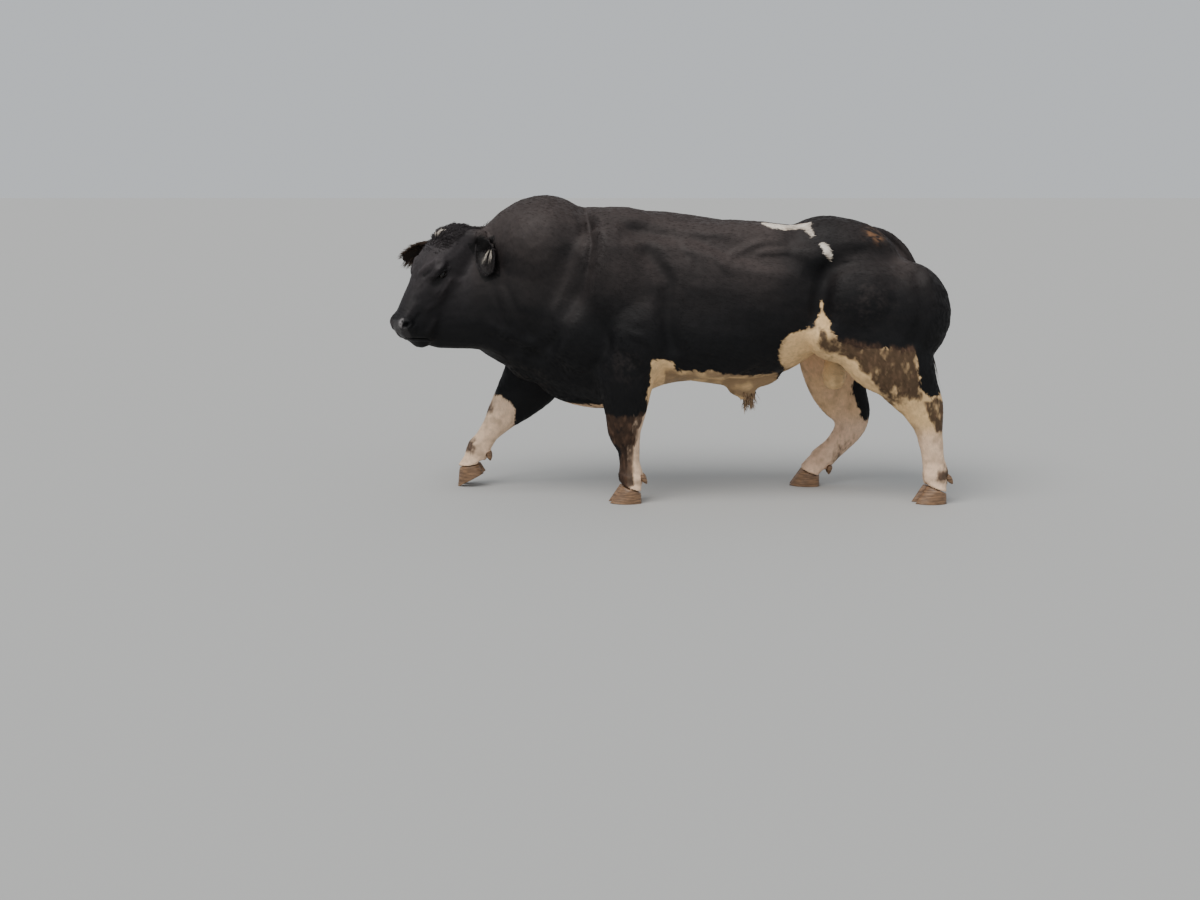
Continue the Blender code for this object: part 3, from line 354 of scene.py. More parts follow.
GASKIN_BLACK = [(1.145, 0.80), (1.32, 0.80), (1.34, 0.62), (1.281, 0.535), (1.23, 0.535),
                (1.192, 0.576)]
FAR_FORE_BLACK = [(-1.10, 0.60), (-1.10, 0.468), (-0.948, 0.468), (-0.887, 0.482), (-0.844, 0.457),
                  (-0.805, 0.413), (-0.815, 0.310), (-0.70, 0.30), (-0.50, 0.60)]
FAR_HIND_BLACK = [(0.95, 0.575), (0.932, 0.509), (0.964, 0.443), (0.988, 0.377), (1.011, 0.344),
                  (1.10, 0.355), (1.10, 0.553)]
FAR_CANNON_BLACK = [(1.013, 0.25), (0.957, 0.185), (0.930, 0.140), (1.00, 0.13), (1.06, 0.25)]
POLL_SPOT = (0.066, -0.002, 0.026)
POLL_SPOT_RADIUS = 0.019
HIND_FROM = 0.55
# White below a level: the level, the stretch of x and the half width of the body it holds for
WHITE_BELOW = [(0.74, HIND_FROM, 1.20, 0.16), (0.60, HIND_FROM, 2.0, 1.0),
               (0.47, -0.62, -0.28, 0.12)]
FLANK_FOLD = [(0.597, 0.695), (0.667, 0.735), (0.768, 0.745), (0.84, 0.711), (0.902, 0.644),
              (0.965, 0.562)]
THIGH_MUD = [(0.690, 0.880), (0.735, 0.835), (0.80, 0.825), (0.889, 0.800), (1.02, 0.800),
             (1.136, 0.790), (1.16, 0.68), (1.192, 0.537), (1.10, 0.512), (1.049, 0.492),
             (0.985, 0.582), (0.922, 0.66), (0.85, 0.705), (0.759, 0.721), (0.697, 0.745)]
HOCK_MUD = [(1.216, 0.515), (1.277, 0.535), (1.34, 0.50), (1.35, 0.354), (1.285, 0.36),
            (1.235, 0.437)]
KNEE_MUD = [(-0.40, 0.455), (-0.24, 0.44), (-0.156, 0.455), (-0.180, 0.363), (-0.207, 0.28),
            (-0.213, 0.196), (-0.196, 0.095), (-0.34, 0.06), (-0.30, 0.154), (-0.262, 0.248),
            (-0.32, 0.321)]
# Soft patches: middle x and z, half width and half height
FRONT_MUD = [(-0.968, 0.41, 0.045, 0.035), (-1.055, 0.215, 0.045, 0.045)]
FOOT_MUD = [(1.335, 0.15, 0.05, 0.05)]
# Dust on the near thigh, and a painted sheen on the near elbow
DUST_AND_SHEEN = [(0.92, 1.02, 0.13, 0.11), (-0.25, 0.69, 0.09, 0.08)]
THIGH_SHEEN = [(1.10, 1.20, 0.09, 0.08)]
RUST_LINE = [(0.941, 1.330), (0.985, 1.306)]
# How much lighter the coat is painted for each metre that a form of the face is raised, and darker
# where it sinks: painted sheen and shade
FORM_SHEEN = 38


def white_by(points, normals):
    """How far inside the white each point lies, before its ragged edge is added."""
    x, y, z = in_plan(points).T
    left = y < 0
    side = np.c_[x, z]
    best = np.full(len(points), -1.0)

    def add(value, where=True):
        np.maximum(best, np.where(where, value, -1.0), out=best)

    add(inside_by(side, FLANK_WHITE), left & (normals[:, 1] < 0.35))
    add(inside_by(side, FAR_FLANK_WHITE), ~left)
    add(inside_by(side, ELBOW_WHITE), x > -0.15)
    add(inside_by(side, HIP_WHITE), left)
    add(inside_by(side, LOIN_EDGE), y < 0.03)
    add(inside_by(np.c_[x, y], LOIN_STREAK), z > 1.30)
    # The underside, from behind the forelegs to the groin
    add(0.60 - z - 0.25 * np.abs(y), (x > -0.1) & (x < 0.60))
    for level, start, end, half in WHITE_BELOW:
        add(level - z, (x > start) & (x < end) & (np.abs(y) < half))
    far_fore = ~left & (x < -0.4)
    add(np.minimum(0.50 - z, -inside_by(side, FAR_FORE_BLACK)), far_fore)
    near_fore = left & (x < 0.0)
    add(np.minimum(0.445 - z, x + 0.205), near_fore)
    add(0.30 - z, near_fore & (x > -0.235))
    strips = np.maximum(inside_by(side, FAR_HIND_BLACK), inside_by(side, FAR_CANNON_BLACK))
    strips = np.where(left, inside_by(side, GASKIN_BLACK), strips)
    best = np.where(x > HIND_FROM, np.minimum(best, -strips), best)
    spot = np.linalg.norm(in_head(points) - np.array(POLL_SPOT), axis=1)
    return np.maximum(best, POLL_SPOT_RADIUS - spot)


def mud_by(points):
    """How muddy each point is, 0 to 1: knees, hocks, feet and the near thigh's lower edge."""
    x, y, z = in_plan(points).T
    left = y < 0
    side = np.c_[x, z]
    rim = bell(distance_to_path(side, FLANK_FOLD), 0.018)
    thigh = ramp(inside_by(side, THIGH_MUD), -0.035, 0.030) * (1 - 0.8 * rim)
    hock = ramp(inside_by(side, HOCK_MUD), -0.012, 0.012)
    far_low = 0.6 * ramp(0.36 - z, 0.0, 0.2) * ramp(x - 0.80, 0.0, 0.10)
    near_hind = np.maximum.reduce([thigh, hock, patches(x, z, FOOT_MUD)])
    return np.maximum.reduce([
        ramp(inside_by(side, KNEE_MUD), -0.022, 0.018) * (left & (x < 0.0)),
        np.clip(patches(x, z, FRONT_MUD), 0, 1) * (~left & (x < -0.4)),
        near_hind * (left & (x > 0.6)),
        far_low * (~left & (x > 0.6)),
    ])


def black_coat(points, normals):
    """Black, with a painted brown-grey sheen on the back, the sides and the face, most where they
    face up.
    """
    x, y, z = in_plan(points).T
    head = ramp(HEAD_COLOURS_FROM - x, 0.0, 0.08)
    # Painted sheen: lighter where the coat faces up, higher on the body and further forward, with
    # random patches
    sheen = 0.75 * ramp(normals[:, 2], -0.35, 0.9) + 0.30 * ramp(noise(points, 0.22, 9), -0.4, 0.8)
    sheen *= ramp(z, 0.78, 1.22) * (0.35 + 0.65 * ramp(0.72 - x, 0.0, 0.3))
    sheen = sheen * (1 - 0.45 * head) + 0.20 * head * ramp(z, 0.85, 1.1)
    # Painted sheen on the face's raised forms and painted shade in its hollows, and a brown sheen
    # patch high on the thigh
    sheen += FORM_SHEEN * face_forms(points) * head + 0.55 * patches(x, z, THIGH_SHEEN)
    # Speckled dust on the near thigh and painted sheen on the near elbow
    dust_and_sheen_grain = ramp(noise(points, 0.008, 25) + noise(points, 0.03, 26), -0.3, 1.2)
    sheen += 0.30 * patches(x, z, DUST_AND_SHEEN) * (y < 0) * dust_and_sheen_grain
    sheen += 0.05 * noise(points * (0.3, 1, 1), 0.03, 11) * ramp(z, 0.6, 1.1)
    return mix(BLACK, mix(BROWN_SHEEN, HEAD_SHEEN, 0.5 * head), np.clip(sheen, 0, 1))


def white_coat(points, white):
    """Cream, whiter on the back, pale on the cannons, pinker inside the legs; grimed low down and
    at the white's edges, with painted shade under the belly.
    """
    x, y, z = in_plan(points).T
    clean = ramp(z, 1.0, 1.2)
    clean = np.clip(clean + 0.2 * noise(points, 0.05, 13) * clean, 0, 1)
    shin = ramp(np.where(x < 0, 0.56, 0.42) - z, 0.0, 0.12) * (np.abs(y) > 0.12)
    pink = ((y > 0) & (x > 0.5)) * 0.55 + ((x < 0.1) & (z < 0.52) & (np.abs(y) < 0.14)) * 0.7
    pink = pink * (0.8 + 0.3 * noise(points, 0.07, 14))
    light = mix(mix(mix(CREAM, WHITE, clean), CANNON, shin), PINK, pink)
    edge = ramp(0.030 - white, 0.0, 0.030) * (x > 0.45) * ramp(z, 0.55, 0.65)
    # Painted shade along the underside of the belly
    under = ramp(0.70 - z, 0.0, 0.06) * ((x > -0.05) & (x < 0.60) & (z > 0.5))
    grime_and_shade = 0.30 * ramp(noise(points, 0.035, 15), 0.0, 0.8) * ramp(0.9 - z, 0.0, 0.3)
    grime_and_shade += 0.55 * edge * ramp(noise(points, 0.03, 27), -0.4, 0.6)
    grime_and_shade += 0.75 * under * ramp(noise(points, 0.05, 28), -0.8, 0.3)
    return mix(light, GRIME_AND_SHADE, np.clip(grime_and_shade, 0, 0.7))


def coat_colour(points, normals, spread=0.0, seed=1):
    """The coat's colour at each point: black, ragged white, a rusty stain and mud."""
    rng = np.random.default_rng(seed)
    x, y, z = in_plan(points).T
    ragged = 0.010 * noise(points * (0.6, 1, 1), 0.022, 3) + 0.006 * noise(points, 0.009, 4)
    ragged *= 1 - 0.65 * ramp(z, 1.15, 1.25)
    white = white_by(points, normals) + ragged + spread * rng.normal(0, 0.004, len(points))
    share = ramp(white, -0.0015, 0.0015)
    colour = mix(black_coat(points, normals), white_coat(points, white), share)
    stain = distance_to_path(np.c_[x, z], RUST_LINE)
    rust = (bell(stain, 0.010) + 0.35 * bell(stain, 0.030)) * (y < 0.0)
    rust *= ramp(noise(points * (0.5, 1, 1), 0.010, 16), -0.5, 0.6)
    colour = mix(colour, RUST, np.clip(rust, 0, 0.6))
    wet = mud_by(points)
    drawn = points * (1, 1, 0.45)
    mud = wet + 0.35 * noise(points, 0.045, 23) + 0.30 * noise(drawn, 0.015, 17)
    mud += 0.20 * noise(drawn, 0.006, 18)
    dried = 0.70 + 0.9 * ramp(noise(drawn, 0.010, 22), -0.2, 0.9)
    muddy = 0.94 * ramp(mud, 0.25, 0.95) * ramp(wet, 0.03, 0.3)
    colour = mix(colour, np.array(MUD) * dried[:, None], muddy)
    tone = 1 + 0.14 * noise(points, 0.012, 19) + spread * rng.normal(0, 0.08, len(points))
    return np.clip(colour * tone[:, None], 0.002, 1)


# Places where the solids' furrows are eased out: a path seen from the side, and its half width
EASED = [
    ([(0.20, 1.33), (0.40, 1.26), (0.64, 1.20)], 0.050),
    ([(0.74, 1.20), (0.745, 1.08), (0.745, 0.97)], 0.070),
    ([(0.78, 1.20), (0.92, 1.215), (1.05, 1.19)], 0.040),
    ([(-0.44, 1.12), (-0.47, 1.00), (-0.52, 0.88)], 0.070),
]
UNDER_EYE = [(0.255, 0.125, -0.125), (0.335, 0.112, -0.125), (0.400, 0.095, -0.130)]
# Creases and muscle lines pressed into the skin, seen from the side: path, depth, half width
CREASES = [
    ([(-0.460, 1.52), (-0.428, 1.37), (-0.415, 1.29), (-0.425, 1.20), (-0.44, 1.12)],
     0.008, 0.013),
    ([(-0.30, 1.36), (-0.14, 1.34), (0.00, 1.29), (0.08, 1.20), (0.13, 1.12)], 0.007, 0.024),
    ([(-0.06, 1.30), (0.10, 1.29), (0.22, 1.245)], 0.005, 0.020),
    ([(0.128, 1.281), (0.187, 1.213), (0.267, 1.135)], -0.0055, 0.017),
    ([(0.010, 1.290), (0.060, 1.235), (0.090, 1.160)], -0.0050, 0.017),
    ([(0.227, 1.203), (0.347, 1.261), (0.427, 1.295), (0.556, 1.281)], -0.0055, 0.018),
    ([(0.367, 1.232), (0.487, 1.242), (0.576, 1.242)], -0.005, 0.013),
    ([(0.606, 1.203), (0.606, 1.115)], -0.005, 0.014),
    ([(0.000, 1.345), (0.160, 1.325), (0.300, 1.320)], -0.005, 0.016),
    ([(0.10, 1.10), (0.16, 0.98), (0.17, 0.84)], 0.003, 0.030),
    ([(0.26, 1.09), (0.31, 0.97), (0.32, 0.84)], 0.003, 0.030),
    ([(0.42, 1.07), (0.47, 0.96), (0.48, 0.86)], 0.003, 0.030),
    ([(0.73, 1.17), (0.80, 1.20), (0.92, 1.21), (1.06, 1.19)], -0.010, 0.030),
    ([(-0.97, 0.900), (-0.78, 0.815), (-0.575, 0.735)], -0.008, 0.026),
    ([(-0.97, 0.835), (-0.78, 0.755), (-0.575, 0.675)], 0.008, 0.024),
    ([(0.99, 1.14), (1.02, 1.00), (0.99, 0.86)], 0.003, 0.034),
    ([(0.60, 0.70), (0.68, 0.735), (0.76, 0.74), (0.85, 0.73), (0.94, 0.67)], 0.005, 0.016),
    ([(-0.50, 0.94), (-0.58, 0.82), (-0.68, 0.71)], 0.007, 0.026),
    ([(-0.36, 0.92), (-0.33, 0.80), (-0.37, 0.70), (-0.36, 0.60)], 0.012, 0.026),
    ([(-0.30, 0.80), (-0.22, 0.72), (-0.16, 0.62)], 0.009, 0.024),
    ([(-0.27, 0.86), (-0.17, 0.84), (-0.12, 0.76)], -0.007, 0.020),
    ([(-0.90, 1.12), (-0.885, 1.03), (-0.865, 0.95), (-0.875, 0.86), (-0.90, 0.78)],
     0.005, 0.018),
    ([(-0.86, 1.14), (-0.80, 1.00), (-0.72, 0.86), (-0.66, 0.78)], 0.005, 0.026),
]


def eased(points):
    """How strongly the skin is relaxed at each point before it is creased."""
    p = in_plan(points)
    weight = np.zeros(len(points))
    for path, half in EASED:
        away = distance_to_path(p[:, [0, 2]], path) / half
        weight = np.maximum(weight, ramp(1.5 - away, 0.0, 0.7))
    weight *= np.abs(p[:, 1]) > 0.12
    cheek = distance_to_path(half_head(points), UNDER_EYE)
    return np.maximum(weight, 0.5 * ramp(0.034 - cheek, 0.0, 0.016))


def crease(points, normals):
    """How far each point moves out along its normal for the creases."""
    flat = in_plan(points)[:, [0, 2]]
    facing = ramp(np.abs(normals[:, 1]), 0.05, 0.45)
    move = np.zeros(len(points))
    for path, depth, half in CREASES:
        low = np.min(path, axis=0) - 4 * half
        high = np.max(path, axis=0) + 4 * half
        near = np.nonzero(((flat > low) & (flat < high)).all(axis=1))[0]
        wander = 0.006 * noise(points[near], 0.05, 21)
        away = (distance_to_path(flat[near], path) + wander) / half
        press = bell(away) - 0.12 * bell(away - 2.1)
        ends = [np.linalg.norm(flat[near] - np.array(path[k]), axis=1) for k in (0, -1)]
        press *= ramp(np.minimum(*ends), 0.0, 4 * half)
        move[near] -= depth * press * facing[near]
    return move


# The face, in the head's frame: the opening of an eye and the pupil by half width and half height,
# hollows by their paths, the nostril by its place, half length and half height, and the mouth by
# its level, half width, slant to the face and line of x and z
EYE_RADIUS = 0.021
EYE_OPENING = (0.0215, 0.0100)
EYE_SLANT = math.radians(14)
EYE_HOLLOW = [(0.232, 0.128, -0.052), (0.306, 0.105, -0.062)]
IRIS_RADIUS = 0.0125
PUPIL = (0.0075, 0.0042)
LASHES = 34
NOSTRIL = (0.547, 0.061, -0.056)
NOSTRIL_SIZE = (0.0200, 0.0105)
MOUTH_LEVEL = -0.119
MOUTH_HALF = 0.0038
MOUTH_SLANT = 0.59
LIP_FRONT = 0.592
WRINKLE_SPACING = 0.017
LIPS = [(0.520, -0.234), (0.536, -0.209), (0.550, -0.186), (0.564, -0.165), (0.580, -0.140),
        (LIP_FRONT, -0.122), (0.620, -0.118)]
# Forms of the face: path, height and half width; the heights also paint sheen on the coat where
# raised and shade where sunk
FACE_FORMS = [
    ([(0.290, 0.042, 0.018), (0.254, 0.073, 0.013), (0.205, 0.113, 0.006)], 0.0065, 0.015),
    ([(0.300, 0.070, -0.006), (0.262, 0.100, -0.010), (0.222, 0.125, -0.016)], -0.0050, 0.011),
    ([(0.256, 0.128, -0.092), (0.236, 0.136, -0.122), (0.224, 0.138, -0.146)], 0.0060, 0.019),
    ([(0.262, 0.122, -0.054), (0.306, 0.105, -0.062)], -0.0045, 0.017),
    ([(0.252, 0.130, -0.109), (0.290, 0.122, -0.114), (0.335, 0.115, -0.118)], 0.0060, 0.014),
    ([(0.325, 0.115, -0.150), (0.370, 0.100, -0.130), (0.419, 0.090, -0.108)], 0.0035, 0.016),
    ([(0.300, 0.118, -0.180), (0.365, 0.100, -0.160), (0.430, 0.085, -0.135)], -0.0015, 0.013),
    ([(0.100, 0.070, 0.030), (0.160, 0.060, 0.036), (0.230, 0.030, 0.036)], 0.0035, 0.022),
    ([(0.440, 0.060, -0.050), (0.500, 0.062, -0.045)], 0.0030, 0.014),
    ([(0.470, 0.075, -0.090), (0.520, 0.080, -0.085)], -0.0030, 0.012),
    ([(0.450, 0.070, -0.180), (0.500, 0.068, -0.180)], 0.0035, 0.018),
    ([(0.060, 0.150, -0.200), (0.110, 0.150, -0.270), (0.150, 0.130, -0.330)], -0.0050, 0.016),
]
# Folds round each eye: height, place and half width in eye openings from the middle, then above
# (1) or below (-1) the eye and how far up or down the fold starts and is at its full height
LID_FOLDS = [(-0.0024, 1.62, 0.12, 1, -0.002, 0.008), (-0.0018, 2.35, 0.16, 1, 0.0, 0.010),
             (-0.0020, 1.75, 0.15, -1, 0.0, 0.008), (-0.0014, 2.60, 0.20, -1, 0.0, 0.010)]
# Brow, the hollow below it and the bone behind: height, middle along and up, and half widths
EYE_FORMS = [(0.0050, 0.0, 0.034, 0.036, 0.012), (-0.0030, 0.0, 0.018, 0.030, 0.007),
             (0.0030, -0.045, -0.004, 0.013, 0.010)]


def face_forms(points):
    """How far each point of the head is raised by the forms of the face."""
    local = half_head(points)
    return sum(height * bell(distance_to_path(local, path), half)
               for path, height, half in FACE_FORMS)


def eye_places():
    """For each side: the eyeball's middle, its way out, along the face and up."""
    places = {}
    turn = HEAD.to_3x3()
    for side, name in ((1, "eye_left"), (-1, "eye_right")):
        low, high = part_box(name)
        out = (turn @ Vector((0.22, side * 0.95, 0.12))).normalized()
        along = turn @ Vector((1, 0, 0))
        along = (along - out * along.dot(out)).normalized()
        up = along.cross(out) * side
        slanted = along * math.cos(EYE_SLANT) + up * math.sin(EYE_SLANT)
        up = up * math.cos(EYE_SLANT) - along * math.sin(EYE_SLANT)
        places[name] = ((low + high) / 2, out, slanted, up)
    return places


EYES = eye_places()


def from_eyes(points):
    """How far each point is from the nearer eyeball's middle."""
    return np.min([np.linalg.norm(points - np.array(eye[0]), axis=1) for eye in EYES.values()],
                  axis=0)


def carve_eyes(points):
    """Opens the skin over each eyeball and raises the lids, a brow and folds round it."""
    for eye in EYES.values():
        middle, out, along, up = (np.array(v) for v in eye)
        u, v, w = ((points - middle) @ np.c_[along, up, out]).T
        near = (np.hypot(u, v) < 0.075) & (w > -0.03) & (w < 0.06)
        high = EYE_OPENING[1] * np.where(v > 0, 1.0, 0.85)
        ring = np.hypot(u / EYE_OPENING[0], v / high)
        ball = np.sqrt(np.maximum(EYE_RADIUS**2 - u**2 - v**2, 0.0))
        # Skin lies on the ball near the opening and falls back behind it inside the opening
        inside = ball - 0.006 * ramp(1.0 - ring, 0.0, 0.25)
        target = np.where(ring < 1.0, inside, np.maximum(ball + 0.0022, w - 0.003))
        lids = 0.0040 * bell(ring - 1.22, 0.20) * np.where(v > 0, 1.25, 0.8)
        for height, place, half, way, start, end in LID_FOLDS:
            lids += height * bell(ring - place, half) * ramp(way * v, start, end)
        forms = sum(height * bell(u - at_u, half_u) * bell(v - at_v, half_v)
                    for height, at_u, at_v, half_u, half_v in EYE_FORMS)
        move = (target - w) * ramp(1.75 - ring, 0.0, 0.55)
        move = np.where(near, move + lids * (ring > 0.98), 0.0)
        move += forms * (w > -0.03) * (ring > 0.98)
        points = points + move[:, None] * out
    return points


def pad_reach(local):
    """How far down the face each point lies, slanted like the upper edge of the nose's pad."""
    return local[:, 0] + 0.35 * (local[:, 2] + 0.06)


def lip_line(x):
    """How high the mouth's line lies in the head's frame, going down the face."""
    return np.interp(x, [spot[0] for spot in LIPS], [spot[1] for spot in LIPS])


def carve_muzzle(points, normals):
    """Nostrils, the line of the mouth, the groove of the lip and wrinkles over the nose."""
    x, y, z = in_head(points).T
    move = face_forms(points)
    for side in (1, -1):
        a = x - NOSTRIL[0]
        b = side * y - NOSTRIL[1]
        c = z - NOSTRIL[2]
        # A comma: the hollow runs out and back along the side of the nose
        run = a * 0.90 + 0.35 * (c * 0.45 - b * 0.89)
        across = b * 0.45 + c * 0.89 + 12 * run * run
        shape = np.hypot(across / NOSTRIL_SIZE[1], run / NOSTRIL_SIZE[0])
        form = -0.016 * ramp(1.25 - shape, 0.0, 0.8) + 0.0028 * bell(shape - 1.55, 0.35)
        form -= 0.0015 * bell(shape - 2.4, 0.3) * (side * y > NOSTRIL[1])
        move += form * ((np.abs(a) < 0.04) & (side * y > 0.02) & (b > -0.02))
    # Across the mouth's line, which slants about 54 degrees to the face
    gap = (z - lip_line(x)) * MOUTH_SLANT / MOUTH_HALF
    gap = np.where(x > LIP_FRONT, (z - MOUTH_LEVEL) / MOUTH_HALF, gap)
    lips = -0.0085 * bell(gap) + 0.0030 * bell(np.abs(gap) - 2.4, 1.2)
    move += lips * ramp(x, 0.524, 0.540)
    groove = bell(y, 0.0035) * ramp(x, 0.56, 0.575) * ramp(-z, 0.070, 0.085)
    move -= 0.003 * groove * ramp(z - MOUTH_LEVEL, 0.0, 0.01)
    folds = np.sin((x - 0.12 * np.abs(y)) * 2 * math.pi / WRINKLE_SPACING + 3 * y)
    nose = ramp(x, 0.45, 0.50) * ramp(0.550 - x, 0.0, 0.03) * ramp(z, -0.12, -0.06)
    cheek = bell(z + 0.215 + 0.25 * (x - 0.30), 0.012) * ramp(x, 0.22, 0.28)
    move += 0.0005 * folds * nose - 0.0010 * cheek * ramp(0.40 - x, 0.0, 0.05)
    return points + move[:, None] * normals


def subdivided(mesh, chosen):
    """Splits the faces whose middles are chosen, once along every edge."""
    with edited(mesh) as work:
        work.faces.ensure_lookup_table()
        middles = np.array([face.calc_center_median() for face in work.faces])
        picked = [work.faces[k] for k in np.nonzero(chosen(middles))[0]]
        edges = list({edge for face in picked for edge in face.edges})
        bmesh.ops.subdivide_edges(work, edges=edges, cuts=1, use_grid_fill=True)
        bmesh.ops.triangulate(work, faces=[face for face in work.faces if len(face.verts) > 4])


def fused_flesh():
    """The flesh nodes, swollen over their cuts, with the eyeballs and ear roots as one surface."""
    work = bmesh.new()
    for name in FLESH + LEGS:
        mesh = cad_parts[name].data.copy()
        with edited(mesh) as welded:
            bmesh.ops.remove_doubles(welded, verts=welded.verts, dist=WELD)
        set_points(mesh, points_of(mesh) + normals_of(mesh) * SWELL)
        work.from_mesh(mesh)
        bpy.data.meshes.remove(mesh)
    for eye in EYES.values():
        bmesh.ops.create_uvsphere(work, u_segments=24, v_segments=16, radius=EYE_RADIUS,
                                  matrix=Matrix.Translation(eye[0]))
    for place, _, _ in EARS.values():
        bmesh.ops.create_uvsphere(work, u_segments=16, v_segments=12, radius=EAR_ROOT_RADIUS,
                                  matrix=Matrix.Translation(HEAD @ Vector(place)))
    mesh = bpy.data.meshes.new("skin")
    work.to_mesh(mesh)
    work.free()
    skin = link(mesh, "skin")
    modified(skin, "REMESH", mode="VOXEL", voxel_size=SKIN_VOXEL)
    largest(skin.data)
    return skin


def make_skin():
    """One closed skin, smoothed, drawn in by the coat's depth, creased and given its face."""
    skin = fused_flesh()
    points = points_of(skin.data)
    p = in_plan(points)
    face = ramp(in_head(points)[:, 0], -0.02, 0.14) * ramp(p[:, 0] - HEAD_FROM, 0.05, -0.05)
    low = 1 - ramp(points[:, 2], 0.10, 0.30)
    thin = ramp(p[:, 0], 0.9, 1.0) * (np.abs(points[:, 1]) < 0.04)
    smoothed(skin, (1 - 0.78 * face) * (1 - 0.55 * low) * (1 - 0.8 * thin), BODY_SMOOTHING)
    smoothed(skin, eased(points_of(skin.data)), EASED_SMOOTHING)
    points = points_of(skin.data)
    normals = normals_of(skin.data)
    points = points - normals * (SWELL + COAT_DEPTH)
    points = points + normals * crease(points, normals)[:, None]
    ripple = 0.0012 * noise(points * (0.4, 1, 1), 0.06, 31) + 0.0004 * noise(points, 0.02, 32)
    points = points + normals * (ripple * ramp(points[:, 2], 0.2, 0.6))[:, None]
    set_points(skin.data, points)
    smoothed(skin, np.ones(len(points)), 1)
    head_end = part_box("head")[1].x

    def on_head(middles):
        return (in_head(middles)[:, 0] > 0.02) & (middles[:, 0] < head_end - 0.08)

    def on_features(middles):
        local = in_head(middles)
        near = (local[:, 0] > 0.505) & (local[:, 2] > -0.235)
        return (near | (from_eyes(middles) < 0.060)) & on_head(middles)

    subdivided(skin.data, on_head)
    subdivided(skin.data, on_features)
    points = points_of(skin.data)
    weight = ramp(in_head(points)[:, 0], 0.0, 0.05) * (points[:, 0] < head_end - 0.06)
    smoothed(skin, weight, 3)
    points = carve_eyes(points_of(skin.data))
    set_points(skin.data, points)
    set_points(skin.data, carve_muzzle(points, normals_of(skin.data)))
    return skin


# Ears: root in the head's frame, then the way it points and the way the cup opens, in the world
EARS = {
    "left": ((-0.012, 0.160, -0.111), (0.17, -0.60, -0.78), (-0.52, -0.83, 0.16)),
    "right": ((0.060, -0.152, -0.084), (-0.92, 0.00, -0.43), (-0.25, -0.75, -0.60)),
}
EAR_LENGTH = 0.208
EAR_WIDTH = 0.057
EAR_SKIN = 0.0055
EAR_RIM = 0.0028
EAR_BEND = 0.10
EAR_STEPS = 20
EAR_ROOT_RADIUS = 0.036
# Along the ear: width, depth of the cup against the width, and how far the inside is hollowed
EAR_SHAPE = [
    (-0.14, 0.50, 1.00, -0.9), (0.05, 0.54, 1.00, -0.9), (0.20, 0.72, 0.86, 0.10),
    (0.36, 0.94, 0.66, 0.60), (0.55, 0.98, 0.50, 0.80), (0.72, 0.84, 0.42, 0.80),
    (0.87, 0.56, 0.36, 0.75), (0.97, 0.25, 0.40, 0.6), (1.00, 0.08, 0.60, 0.5),
]
# Colour and length of the fringe, the share of pale hairs and the way that these hang
EAR_COATS = {
    "left": ((0.040, 0.035, 0.036), 0.024, 0.050, (-0.30, -0.50, -0.80)),
    "right": ((0.085, 0.055, 0.040), 0.046, 0.012, (-0.35, -0.40, -0.85)),
}


def spline(rows, per_span):
    """Points of a smooth curve through rows of numbers, end rows included."""
    rows = [np.array(row, float) for row in rows]
    ends = [2 * rows[0] - rows[1]] + rows + [2 * rows[-1] - rows[-2]]
    out = []
    for a, b, c, d in zip(ends, ends[1:], ends[2:], ends[3:]):
        for k in range(per_span):
            t = k / per_span
            out.append(0.5 * (2 * b + (c - a) * t + (2 * a - 5 * b + 4 * c - d) * t**2
                              + (3 * b - a - 3 * c + d) * t**3))
    out.append(rows[-1])
    return out


def ring_mesh(name, rings):
    """A closed skin over rings with equal counts, each end closed with a fan of faces."""
    count = len(rings[0])
    points = [tuple(p) for ring in rings for p in ring]
    points += [tuple(np.mean(rings[k], axis=0)) for k in (0, -1)]
    first, last = len(points) - 2, len(points) - 1
    end = (len(rings) - 1) * count
    faces = ring_faces(len(rings), count)
    for n in range(count):
        m = (n + 1) % count
        faces += [(first, m, n), (last, end + n, end + m)]
    mesh = mesh_from(name, np.array(points), faces)
    with edited(mesh) as work:
        bmesh.ops.recalc_face_normals(work, faces=work.faces)
    return mesh


def ear_axes(which):
    """The ear's root, the way it points, the way its cup opens and the way across it."""
    place, aim, opens = EARS[which]
    root = HEAD @ Vector(place)
    aim = Vector(aim).normalized()
    across = aim.cross(Vector(opens)).normalized()
    return root, aim, across.cross(aim).normalized(), across


def make_ear(which):
    """A cupped ear with a rolled rim and soft ribs inside the cup."""
    root, aim, opens, across = ear_axes(which)
    rings = []
    for s, width, cup, hollow in spline(EAR_SHAPE, 5):
        half = EAR_WIDTH * width
        depth = half * cup
        middle = root + aim * (s * EAR_LENGTH) - opens * (EAR_BEND * max(s, 0) ** 2 * EAR_LENGTH)
        reach = depth * hollow if hollow < 0.3 else max(depth - EAR_SKIN, 0.2 * depth)
        ring = []
        for angle in np.linspace(0, math.pi, EAR_STEPS + 1):
            ring.append(middle + across * half * math.cos(angle)
                        - opens * depth * math.sin(angle))
        for angle in np.linspace(math.pi, 0, EAR_STEPS + 1)[1:-1]:
            rib = 0.0016 * math.cos(6 * angle) * max(0.0, 1 - abs(s - 0.5) * 2)
            ring.append(middle + across * (half - EAR_RIM) * math.cos(angle)
                        - opens * (reach + rib) * math.sin(angle))
        rings.append(ring)
    return link(ring_mesh(f"ear_{which}", rings), f"ear_{which}")


def united(skin, things):
    """Fuses these closed meshes to the skin."""
    for thing in things:
        modified(skin, "BOOLEAN", operation="UNION", solver="MANIFOLD", object=thing)
        bpy.data.objects.remove(thing)


